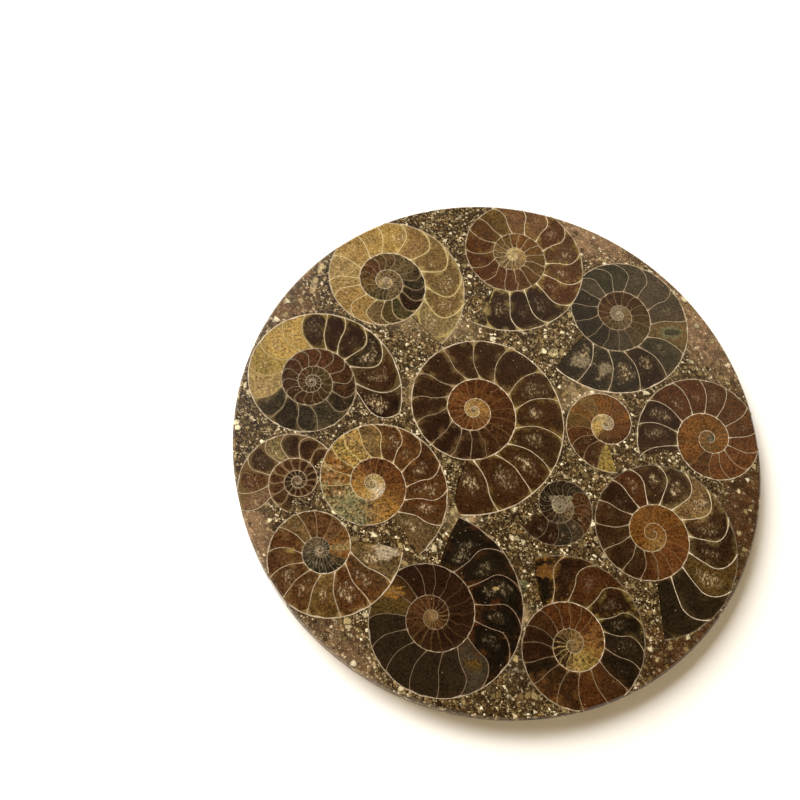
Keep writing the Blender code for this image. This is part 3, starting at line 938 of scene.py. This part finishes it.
# %% Spots and zones
SPOT_FRAYED, ZONE_FRAYED = 2.4, 1.6                   # how far noise of 0 to 1 pulls the edge in
SPOT_EDGE = (1.95, 2.4, 0.85, 0.0)                    # start and end of the edge, most and least colour
ZONE_EDGE = (1.2, 2.2)                                # start and end of the edge
SPOT_MOTTLE = (5.5, -1.75)                            # its lightness: noise times this, and this on top


def ellipse_measure(tree, where, centre, size, turn):
    """Distance from the centre of an ellipse of `size` (length, width in mm), in half sizes."""
    away = add(tree, "VectorMath", MINUS, (where, (centre[0] * MM, centre[1] * MM, 0)))
    flat_turn = {"Vector": away, "Angle": -np.radians(turn)}
    away = add(tree, "VectorRotate", {"rotation_type": "Z_AXIS"}, flat_turn)
    away = add(tree, "VectorMath", TIMES, (away, (2 / size[0] / MM, 2 / size[1] / MM, 0)))
    return add(tree, "VectorMath", LENGTH, (away,), "Value")


def add_spot(tree, colour, where, ragged, centre, size, tint, turn=0.0, mottle=None):
    """Mixes a spot of a colour written as hex over another, with an edge that the noise frays."""
    measure = ellipse_measure(tree, where, centre, size, turn)
    measure = add(tree, "Math", TIMES_PLUS, (ragged, SPOT_FRAYED, measure))
    there = add(tree, "MapRange", SMOOTH, change(measure, *SPOT_EDGE))
    shade = add(tree, "Math", TIMES_PLUS, (mottle or ragged, *SPOT_MOTTLE))
    mottled = add(tree, "HueSaturation", (), {"Color": linear(tint), "Value": shade})
    return add(tree, "Mix", COLOURS, {0: there, 6: colour, 7: mottled}, MIXED)


def add_zone(tree, colour, where, ragged, centre, size, turn, tint, share):
    """Mixes a broad stain over a colour: like a spot, but soft and plain, and at most a `share` of it."""
    measure = ellipse_measure(tree, where, centre, size, turn)
    measure = add(tree, "Math", TIMES_PLUS, (ragged, ZONE_FRAYED, measure))
    there = add(tree, "MapRange", SMOOTH, change(measure, *ZONE_EDGE, share, 0.0))
    return add(tree, "Mix", COLOURS, {0: there, 6: colour, 7: linear(tint)}, MIXED)


print("spots and zones ready")

# %% [markdown]
# ## Calcite, its colour
# Calcite is a clear to milky mineral that grew in the empty chambers. Its colour comes from iron and
# mud, so it changes from chamber to chamber. A ramp along the shell holds the colours; it is read
# once for each chamber, so that a chamber is nearly of one colour and ends sharply at its septum.

# %% Colour along the shell
MOST_CHAMBERS = 84.0          # chambers on a ramp's length; the last of a finer shell share its end
CHAMBERS_BEFORE = 2.0         # the part in front of the first septum has numbers below nought
LIGHTEST, DARKEST = 1.08, 0.92        # by chance, one chamber is a little lighter than the next
RUNS_ON = 0.4                 # share of the ramp's change that shows within a chamber
STRAYS = 4.5                  # chambers by which a colour may stray across the septa


def stops(fossil, rows):
    """Ramp stops from rows of a place in turns and either a colour name or four moods."""
    spots = [(fossil.chamber(row[0]) + CHAMBERS_BEFORE) / MOST_CHAMBERS for row in rows]
    return [(spot, linear(PALETTE[row[1]]) if len(row) == 2 else row[1:]) for spot, row in zip(spots, rows)]


def chamber_looks(tree, fossil, chamber, wobble):
    """Body colour, corner colour, moods and chances, all read once for each chamber."""
    number = add(tree, "Math", {"operation": "FLOOR"}, (chamber,))
    part = add(tree, "Math", {"operation": "FRACT"}, (chamber,))
    middle = add(tree, "Math", TIMES_PLUS, (part, RUNS_ON, (1 - RUNS_ON) / 2 + CHAMBERS_BEFORE))
    steady = add(tree, "Math", PLUS, (number, middle))
    steady = add(tree, "Math", DIVIDED_BY, (steady, MOST_CHAMBERS))
    mood = add(tree, "ValToRGB", {"stops": stops(fossil, fossil.look["mood"])}, (steady,))
    moods = [*add(tree, "SeparateColor", (), (mood,)).node.outputs[:3], mood.node.outputs["Alpha"]]

    # crystalline parts grew across the septa, so their colours run on with ragged borders
    stray = add(tree, "Math", TIMES, (wobble, moods[2]))
    shifted = add(tree, "Math", TIMES_PLUS, (stray, STRAYS / MOST_CHAMBERS, steady))
    body = add(tree, "ValToRGB", {"stops": stops(fossil, fossil.look["body"])}, (shifted,))
    corner = add(tree, "ValToRGB", {"stops": stops(fossil, fossil.look["corner"])}, (steady,))
    chances = add(tree, "TexWhiteNoise", {"noise_dimensions": "1D"}, {"W": number}, "Color")
    chances = add(tree, "SeparateColor", (), (chances,)).node.outputs
    tone = add(tree, "Math", TIMES_PLUS, (chances[0], LIGHTEST - DARKEST, DARKEST))
    body = add(tree, "HueSaturation", (), {"Color": body, "Value": tone})
    return body, corner, moods, chances, part


print("palette and ramps ready")

# %% [markdown]
# ## Calcite, its corners
# A chamber is not filled to its corners by the same mineral: where a septum meets the wall, a lining
# grew first. The formula is that of a rectangle with rounded corners: take from each side what lies
# within the rounding, and the root of the sum of the squares says how deep in the corner a point is.

# %% Corners
def from_edge(tree, part, size):
    """Distance in mm from the nearer end of a span that is `size` mm long, at a part of 0 to 1."""
    off = add(tree, "Math", MINUS, (part, 0.5))
    off = add(tree, "Math", UNSIGNED, (off,))
    off = add(tree, "Math", MINUS, (0.5, off))
    return add(tree, "Math", TIMES, (off, size))


def corner_depth(tree, x, y, radius):
    """How far in mm a point is inside the rounded outline; x and y are its distances from the sides."""
    short_x = add(tree, "Math", GREATER, (add(tree, "Math", MINUS, (radius, x)), 0.0))
    short_y = add(tree, "Math", GREATER, (add(tree, "Math", MINUS, (radius, y)), 0.0))
    square = add(tree, "Math", TIMES, (short_y, short_y))
    square = add(tree, "Math", TIMES_PLUS, (short_x, short_x, square))
    root = add(tree, "Math", {"operation": "SQRT"}, (square,))
    return add(tree, "Math", MINUS, (radius, root))


print("corners ready")

# %% [markdown]
# ## Calcite, its clouds
# In the middle of many chambers hangs a small milky cloud, the last calcite to grow, with bright
# threads in it, painted glints. It is a ragged ellipse in the chamber, about a third of its size.
# How large it is and how far off the middle it lies is left to each chamber's three chances.

# %% Clouds
CLOUD_MIDDLE = (-0.62, 0.24), (-0.64, 0.22)           # along and across: least shift, and chance on top
CLOUD_SMALLNESS = (2.6, 1.5)                          # least, and chance on top
CLOUD_FLATNESS = 1.12         # how much narrower it is across the tube than along it
CLOUD_FRAYED = 2.6            # how far the drifting noise pulls its edge out of shape
CLOUD_EDGE = (0.1, 1.1)       # from its full middle to its end, in the measure of the ellipse
HAZE = 0.32                   # most of the haze's own colour that shows
# the threads are painted glints: pale specks and streaks where the crystals would catch the light
GLINT_SPACING = 0.4          # mm
GLINT_SLANT = (1.0, 0.65, 1.0)       # draws the threads out towards the far side of the slab
GLINT_EDGE = (0.51, 0.60)    # of the noise, between which a thread comes in
GLINT_COLOUR = "d6c19a"


def add_cloud(tree, colour, where, drift, part, across, strength, chances):
    """Mixes the haze of a cloud and its threads, painted glints, over a colour."""
    (shift_x, chance_x), (shift_y, chance_y) = CLOUD_MIDDLE
    least, more = CLOUD_SMALLNESS
    x = add(tree, "Math", TIMES_PLUS, (chances[1], chance_x, shift_x))
    x = add(tree, "Math", PLUS, (part, x))
    y = add(tree, "Math", TIMES_PLUS, (chances[2], chance_y, shift_y))
    y = add(tree, "Math", PLUS, (across, y))
    small = add(tree, "Math", TIMES_PLUS, (chances[0], more, least))
    away = add(tree, "CombineXYZ", (), (x, add(tree, "Math", TIMES, (y, CLOUD_FLATNESS)), 0))
    away = add(tree, "VectorMath", {"operation": "SCALE"}, {"Vector": away, "Scale": small})
    away = add(tree, "VectorMath", LENGTH, (away,), "Value")
    away = add(tree, "Math", TIMES_PLUS, (drift, CLOUD_FRAYED, away))
    inside = add(tree, "MapRange", SMOOTH, change(away, *CLOUD_EDGE, 1.0, 0.0))
    inside = add(tree, "Math", TIMES, (inside, strength))
    haze = add(tree, "Math", TIMES, (inside, HAZE))
    colour = add(tree, "Mix", COLOURS, {0: haze, 6: colour, 7: linear(PALETTE["tan"])}, MIXED)
    # painted glints: pale threads in the middle of the cloud
    slanted = add(tree, "VectorMath", TIMES, (where, GLINT_SLANT))
    threads = add(tree, "TexNoise", (), pattern(slanted, GLINT_SPACING, Detail=8.0, Roughness=0.75))
    threads = add(tree, "MapRange", SMOOTH, change(threads, *GLINT_EDGE, 0.0, 1.0))
    threads = add(tree, "Math", TIMES, (threads, inside))
    return add(tree, "Mix", COLOURS, {0: threads, 6: colour, 7: linear(GLINT_COLOUR)}, MIXED)


print("clouds ready")

# %% [markdown]
# ## Calcite, all of it
# Calcite that grew in a shell and was sawn and polished with it. Over the chamber's colour come a slow
# drift, the mottling of the crystals and a few pale flecks, painted glints; the edges glow amber here
# and there, where the calcite is thin and light comes through. The polish is soft: an index of about
# 1.5, and a roughness that changes a little from crystal to crystal.

# %% Lightness of the calcite
ROUNDING = (0.50, 0.30)       # corner radii at the inner and the outer wall, where nothing else is said
DRIFT_SIZE = 2.2              # mm, slow changes in how clear the calcite is
RAGGED_SIZE = 1.0             # mm, frays the edges of patches
MOTTLE_SIZE = 0.42            # mm, crystals
FLECK_SPACING = 0.42          # mm; real flecks are half as far apart, too fine to show
DARKEST_CRYSTAL = 0.3

# how much drift, single crystals and mottling change the light: times how crystalline, and on top
BY_DRIFT, BY_GRAIN, BY_MOTTLE = (1.3, 1.4), (1.5, 0.15), (2.2, 4.8)


def calcite_light(tree, wobble, mottle, cells, crystal):
    """How light a point is, around 1: drift, single crystals and mottling, stronger where crystalline."""
    slow = add(tree, "Math", TIMES, (wobble, add(tree, "Math", TIMES_PLUS, (crystal, *BY_DRIFT))))
    grain = add(tree, "Math", MINUS, (cells[0], 0.5))
    squared = add(tree, "Math", TIMES, (crystal, crystal))
    grain = add(tree, "Math", TIMES, (grain, add(tree, "Math", TIMES_PLUS, (squared, *BY_GRAIN))))
    fine = add(tree, "Math", TIMES_PLUS, (crystal, *BY_MOTTLE))
    fine = add(tree, "Math", TIMES_PLUS, (add(tree, "Math", MINUS, (mottle, 0.5)), fine, 1.0))
    light = add(tree, "Math", PLUS, (slow, add(tree, "Math", PLUS, (grain, fine))))
    return add(tree, "Math", GREATER, (light, DARKEST_CRYSTAL))


print("crystals of", MOTTLE_SIZE, "mm, in a drift of", DRIFT_SIZE, "mm")

# %% Edges and lining of the calcite
GLOW_REACH = (0.1, 1.5)       # mm from a chamber's edge, from the full amber glow to its end
GLOW_PATCHES = (0.48, 0.62, 0.06, 0.8)        # drift where the glow comes in, least and most of it
FRAYED = 1.1                  # mm by which the drift pulls the lining's border
LINING_EDGE = 0.14            # mm on either side of the lining's border
MOST_LINING = 0.8
LINING_MOTTLE = (2.4, -0.2)   # its lightness: mottling times this, and this on top
INNER_SIDE, OUTER_SIDE = 0.3, 0.7     # places across between which one wall's rounding becomes the other's


def add_glow(tree, colour, corner, x, y, drift, glow):
    """Mixes the amber of the edges over a colour, in patches."""
    edge = add(tree, "Math", LESSER, (x, y))
    edge = add(tree, "MapRange", SMOOTH, change(edge, *GLOW_REACH, 1.0, 0.0))
    patchy = add(tree, "MapRange", SMOOTH, change(drift, *GLOW_PATCHES))
    patchy = add(tree, "Math", TIMES, (add(tree, "Math", TIMES, (patchy, edge)), glow))
    return add(tree, "Mix", COLOURS, {0: patchy, 6: colour, 7: corner}, MIXED)


def add_lining(tree, colour, corner, x, y, room, across, wobble, mottle, look):
    """Mixes the lining of the corners over a colour, thicker where the outline is rounder."""
    inner, outer = look.get("round", ROUNDING)
    rounding = add(tree, "MapRange", (), change(across, INNER_SIDE, OUTER_SIDE, inner, outer))
    least = add(tree, "Math", LESSER, room)
    radius = add(tree, "Math", TIMES, (least, rounding))
    depth = add(tree, "Math", TIMES_PLUS, (wobble, FRAYED, corner_depth(tree, x, y, radius)))
    sides = add(tree, "Math", TIMES, (least, look.get("lining", 0.0)))
    depth = add(tree, "Math", MINUS, (depth, sides))
    lining = add(tree, "MapRange", SMOOTH, change(depth, -LINING_EDGE, LINING_EDGE, MOST_LINING, 0.0))
    pale = add(tree, "Math", TIMES_PLUS, (mottle, *LINING_MOTTLE))
    pale = add(tree, "HueSaturation", (), {"Color": corner, "Value": pale})
    return add(tree, "Mix", COLOURS, {0: lining, 6: colour, 7: pale}, MIXED)


print("amber edges reach", GLOW_REACH[1], "mm inwards")

# %% Flecks
# the flecks are painted glints: pale specks where single crystals would catch the light
GLINT_FLECK_EDGE = (0.1, 0.34, 0.8, 0.0)    # start and end of a fleck's edge in its cell, most and least of it
MOST_GLINT_FLECKED = 0.05           # share of the cells with a fleck, where the mood is all flecks


def add_glint_flecks(tree, colour, flecks, cells, fleck):
    """Mixes pale flecks, painted glints, over a colour: the middles of the few cells that chance picks."""
    near = add(tree, "TexVoronoi", NEAREST, flecks, "Distance")
    near = add(tree, "MapRange", (), change(near, *GLINT_FLECK_EDGE))
    rare = add(tree, "Math", BELOW, (cells[1], add(tree, "Math", TIMES, (fleck, MOST_GLINT_FLECKED))))
    near = add(tree, "Math", TIMES, (near, rare))
    return add(tree, "Mix", COLOURS, {0: near, 6: colour, 7: linear(PALETTE["chalk"])}, MIXED)


print("flecks every", FLECK_SPACING, "mm, in at most", MOST_GLINT_FLECKED, "of the cells")

# %% Calcite material
CLOUDY_FROM = 0.12            # mood below which there is no cloud at all
CLOUD_STRENGTH = (0.6, 0.8)   # by chance, and least
POLISH = (0.14, 0.11)         # roughness by mottling, and least


def calcite(fossil):
    """Polished fossil calcite, with a look of its own for each shell."""
    look = fossil.look
    material, tree = new_material(f"polished_calcite_{fossil.name}")
    where = add(tree, "TexCoord", out="Object")
    place = add(tree, "Attribute", {"attribute_name": "place"}, out="Vector")
    _, chamber, across = add(tree, "SeparateXYZ", (), (place,)).node.outputs
    room = add(tree, "Attribute", {"attribute_name": "room"}, out="Vector")
    length, height, _ = add(tree, "SeparateXYZ", (), (room,)).node.outputs

    drift = add(tree, "TexNoise", (), pattern(where, DRIFT_SIZE, Detail=6.0, Roughness=0.65))
    ragged = add(tree, "TexNoise", (), pattern(where, RAGGED_SIZE, Detail=6.0, Roughness=0.65))
    mottle = add(tree, "TexNoise", (), pattern(where, MOTTLE_SIZE, Detail=5.0, Roughness=0.75))
    flecks = pattern(where, FLECK_SPACING)
    cells = add(tree, "TexVoronoi", NEAREST, flecks, "Color")
    cells = add(tree, "SeparateColor", (), (cells,)).node.outputs
    wobble = add(tree, "Math", MINUS, (drift, 0.5))

    body, corner, moods, chances, part = chamber_looks(tree, fossil, chamber, wobble)
    cloud, fleck, crystal, glow = moods
    x, y = from_edge(tree, part, length), from_edge(tree, across, height)
    body = add_glow(tree, body, corner, x, y, drift, glow)
    light = calcite_light(tree, wobble, mottle, cells, crystal)
    body = add(tree, "HueSaturation", (), {"Color": body, "Value": light})
    body = add_lining(tree, body, corner, x, y, (length, height), across, wobble, mottle, look)

    strength = add(tree, "Math", TIMES_PLUS, (chances[1], *CLOUD_STRENGTH))
    shown = add(tree, "Math", GREATER, (add(tree, "Math", MINUS, (cloud, CLOUDY_FROM)), 0.0))
    strength = add(tree, "Math", TIMES, (strength, shown))
    body = add_cloud(tree, body, where, wobble, part, across, strength, chances)
    body = add_glint_flecks(tree, body, flecks, cells, fleck)
    for offset, long, wide, colour in look.get("patches", ()):
        body = add_spot(tree, body, where, ragged, fossil.centre + offset, (long, wide), PALETTE[colour],
                        mottle=mottle)

    polish = add(tree, "Math", TIMES_PLUS, (mottle, *POLISH))
    finish_material(tree, add(tree, "BsdfPrincipled", (), {
        "Base Color": body, "Roughness": polish, "IOR": 1.52}))
    return material


print("calcite: roughness from", POLISH[1], "to", sum(POLISH))

# %% [markdown]
# ## Shell wall
# The walls and septa are the animal's own shell, once mother-of-pearl and now a pale chalky calcite,
# ground and polished with the rest. They are cream near the mouth, and further in they may take up the
# brown of their surroundings. One ramp holds both rows of colours, the septa's and after it the
# spiral wall's, which lies further along because its turns are counted on from the most there can be.

# %% Shell material
STAIN_SIZE = 0.8              # mm
STAIN_LIGHT = (0.3, 0.7, 0.5, 1.5)    # noise from and to, lightness from and to


def shell_wall(fossil):
    """Chalky shell, with the septa's and the spiral wall's own colours."""
    material, tree = new_material(f"fossil_shell_{fossil.name}")
    where = add(tree, "TexCoord", out="Object")
    turns = add(tree, "Attribute", {"attribute_name": "turns"}, out="Fac")
    along = add(tree, "Math", DIVIDED_BY, (turns, 2 * MOST_TURNS))
    rows = fossil.look["shell"] + [(t + MOST_TURNS, name) for t, name in fossil.look["wall_colour"]]
    colours = [(t / (2 * MOST_TURNS), linear(PALETTE[name])) for t, name in rows]
    colour = add(tree, "ValToRGB", {"stops": colours}, (along,))
    stain = add(tree, "TexNoise", (), pattern(where, STAIN_SIZE, Detail=5.0, Roughness=0.7))
    tone = add(tree, "MapRange", (), change(stain, *STAIN_LIGHT))
    colour = add(tree, "HueSaturation", (), {"Color": colour, "Value": tone})
    finish_material(tree, add(tree, "BsdfPrincipled", (), {
        "Base Color": colour, "Roughness": 0.30, "IOR": 1.55}))
    return material


print("shell stained every", STAIN_SIZE, "mm")

# %% [markdown]
# Now each fossil gets its two pieces, which ride with the slab and together replace its solid.

# %% Make the fossils
for fossil in AMMONITES:
    cad_node = CAD_NODE[fossil.name]
    filling = calcite_piece(fossil, calcite(fossil))
    walls = shell_piece(fossil, shell_wall(fossil))
    for piece in (filling, walls):
        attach(piece, "root")
        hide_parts(cad_node)
    print(f"{cad_node}: calcite {len(filling.data.polygons)} faces, shell {len(walls.data.polygons)} faces")

# %% [markdown]
# ## The stone between the fossils
# The ground mass is a bed of crushed shell: grains from a quarter of a millimetre to a millimetre,
# dark brown, tan and cream, set in brown mud that has turned to stone. Three sizes of cells, each
# grain with its own colour, give the glitter. Some zones differ: pinkish mud near much of the rim,
# dark red mud at its lower right, and ochre mud, pale grit and dark grit here and there. They lie over
# the two finer sizes of grains and under the largest. A few big chips of shell are laid one by one. A
# slow and a fine noise make all of it lighter and darker.

# %% Stone colours
MUD = [(0.30, "110904"), (0.5, "30200f"), (0.7, "5e4829")]
FINE = [(0, "180f07"), (0.3, "3b2b16"), (0.6, "5b492b"), (0.85, "80704f"), (1, "c0b494")]
MEDIUM = [(0, "251a0c"), (0.3, "46351d"), (0.6, "6a5635"), (0.85, "907f60"), (1, "d0c6aa")]
LARGE = [(0, "3e301c"), (0.35, "645334"), (0.7, "867652"), (1, "c8bea2")]
GRAINS = [(0.26, 0.62, FINE), (0.5, 0.38, MEDIUM), (1.0, 0.13, LARGE)]   # mm, share shown, colours

# zones: centre, length and width in mm, turn in degrees, colour, share
PINK_MUD, RED_MUD, OCHRE_MUD = "7c624a", "3a2412", "553819"
PALE_GRIT, DARK_GRIT = "988260", "2c2114"
ZONES = [((20, 44), (20, 10), -25, PINK_MUD, 0.6), ((41, 25), (26, 12), -60, PINK_MUD, 0.5),
         ((-41, 32), (15, 6), 50, PINK_MUD, 0.5), ((-46, -19), (18, 8), -68, PINK_MUD, 0.5),
         ((-30, -39), (16, 8), -35, PINK_MUD, 0.35), ((45, -14), (11, 27), -18, RED_MUD, 0.8),
         ((32, -38), (25, 12), 40, RED_MUD, 0.8), ((-41, 23.5), (13, 8), 60, OCHRE_MUD, 0.5),
         ((-15, 7), (6, 10), 20, PALE_GRIT, 0.5), ((17, 8.5), (11, 7), 0, PALE_GRIT, 0.5),
         ((-14, 23), (20, 8), -10, PALE_GRIT, 0.3), ((0, -32.5), (7, 5), 0, PALE_GRIT, 0.6),
         ((-8.5, -16), (7, 5), 0, PALE_GRIT, 0.35), ((1, -41), (7, 10), 0, DARK_GRIT, 0.7),
         ((-33, -32), (11, 7), -45, DARK_GRIT, 0.3), ((4, -24), (13, 6), 0, DARK_GRIT, 0.25)]

# chips: centre, length and width in mm, turn in degrees, colour
CHIPS = [((-35.3, 33.3), (2.6, 0.9), 80, "978662"), ((-36.4, 29.7), (4.0, 1.2), 78, "8c7a5b"),
         ((2.3, -18.1), (0.9, 0.7), 0, "634625"), ((10.5, 17.5), (2.2, 1.6), 20, "897e5b"),
         ((2.2, -27.6), (2.4, 1.8), 60, "504e35"), ((16.6, -28.8), (2.4, 1.9), 30, "494734"),
         ((6.5, 14.0), (1.8, 1.4), 0, "887b59"), ((29.0, 5.5), (1.6, 1.1), 40, "776a46"),
         ((-9.8, -14.6), (2.0, 1.2), 30, "887a57")]
print(len(CHIPS), "chips,", len(ZONES), "zones")


# %% Grains
SEAM = (0.0, 0.15, 0.05, 1.0)         # from the edge of a grain inwards: share of its size, and light


def add_grains(tree, colour, where, size, share, colours):
    """Lays grains `size` mm apart over a colour: each has its own tone and a dark seam around it."""
    cells = pattern(where, size)
    cell = add(tree, "TexVoronoi", NEAREST, cells, "Color")
    picks = add(tree, "SeparateColor", (), (cell,)).node.outputs
    grain = add(tree, "ValToRGB", {"stops": shades(colours)}, (picks[0],))
    seam = add(tree, "TexVoronoi", {"feature": "DISTANCE_TO_EDGE"}, cells, "Distance")
    seam = add(tree, "MapRange", (), change(seam, *SEAM))
    grain = add(tree, "HueSaturation", (), {"Color": grain, "Value": seam})
    shown = add(tree, "Math", BELOW, (picks[1], share))
    return add(tree, "Mix", COLOURS, {0: shown, 6: colour, 7: grain}, MIXED)


print("grains every", [size for size, _, _ in GRAINS], "mm")

# %% Stone material
RAGGED, BENT, MUDDY, SHADED, SLOW = 1.0, 0.5, 0.5, 0.2, 1.8           # sizes of the noises in mm
BEND = 0.5                    # mm by which the grains' outlines are bent
FINE_LIGHT, SLOW_LIGHT = (7.0, -3.75), 2.8            # light: fine noise times, plus, slow noise times
DARKEST_STONE = 0.1
SAWN_BELOW = 0.9              # how upright a polished face's normal is at least; the rim is only ground
POLISHED, SAWN_ROUGHER = 0.22, 0.35


def crushed_shell_stone():
    """Stone of crushed shell: polished on its faces, and sawn and ground on its rim."""
    material, tree = new_material("crushed_shell_limestone")
    where = add(tree, "TexCoord", out="Object")
    ragged = add(tree, "TexNoise", (), pattern(where, RAGGED, Detail=6.0, Roughness=0.65))
    bend = add(tree, "TexNoise", (), pattern(where, BENT, Detail=4.0), "Color")
    bend = add(tree, "VectorMath", TIMES_PLUS, (bend, (BEND * MM,) * 3, where))
    mud = add(tree, "TexNoise", (), pattern(where, MUDDY, Detail=6.0, Roughness=0.7))
    colour = add(tree, "ValToRGB", {"stops": shades(MUD)}, (mud,))
    for grains in GRAINS[:2]:
        colour = add_grains(tree, colour, bend, *grains)
    for zone in ZONES:
        colour = add_zone(tree, colour, where, ragged, *zone)
    colour = add_grains(tree, colour, bend, *GRAINS[2])
    for centre, size, turn, code in CHIPS:
        colour = add_spot(tree, colour, where, ragged, centre, size, code, turn)
    shade = add(tree, "TexNoise", (), pattern(where, SHADED, Detail=6.0, Roughness=0.8))
    slow = add(tree, "TexNoise", (), pattern(where, SLOW, Detail=3.0, Roughness=0.6))
    light = add(tree, "Math", TIMES_PLUS, (shade, *FINE_LIGHT))
    light = add(tree, "Math", TIMES_PLUS, (slow, SLOW_LIGHT, light))
    light = add(tree, "Math", GREATER, (light, DARKEST_STONE))
    colour = add(tree, "HueSaturation", (), {"Color": colour, "Value": light})

    upright = add(tree, "SeparateXYZ", (), (add(tree, "NewGeometry", out="Normal"),), "Z")
    upright = add(tree, "Math", UNSIGNED, (upright,))
    sawn = add(tree, "Math", BELOW, (upright, SAWN_BELOW))
    rough = add(tree, "Math", TIMES_PLUS, (sawn, SAWN_ROUGHER, POLISHED))
    finish_material(tree, add(tree, "BsdfPrincipled", (), {
        "Base Color": colour, "Roughness": rough, "IOR": 1.54}))
    return material


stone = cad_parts["stone_matrix"]
stone.data.materials.clear()
stone.data.materials.append(crushed_shell_stone())
print("stone material on", stone.name)
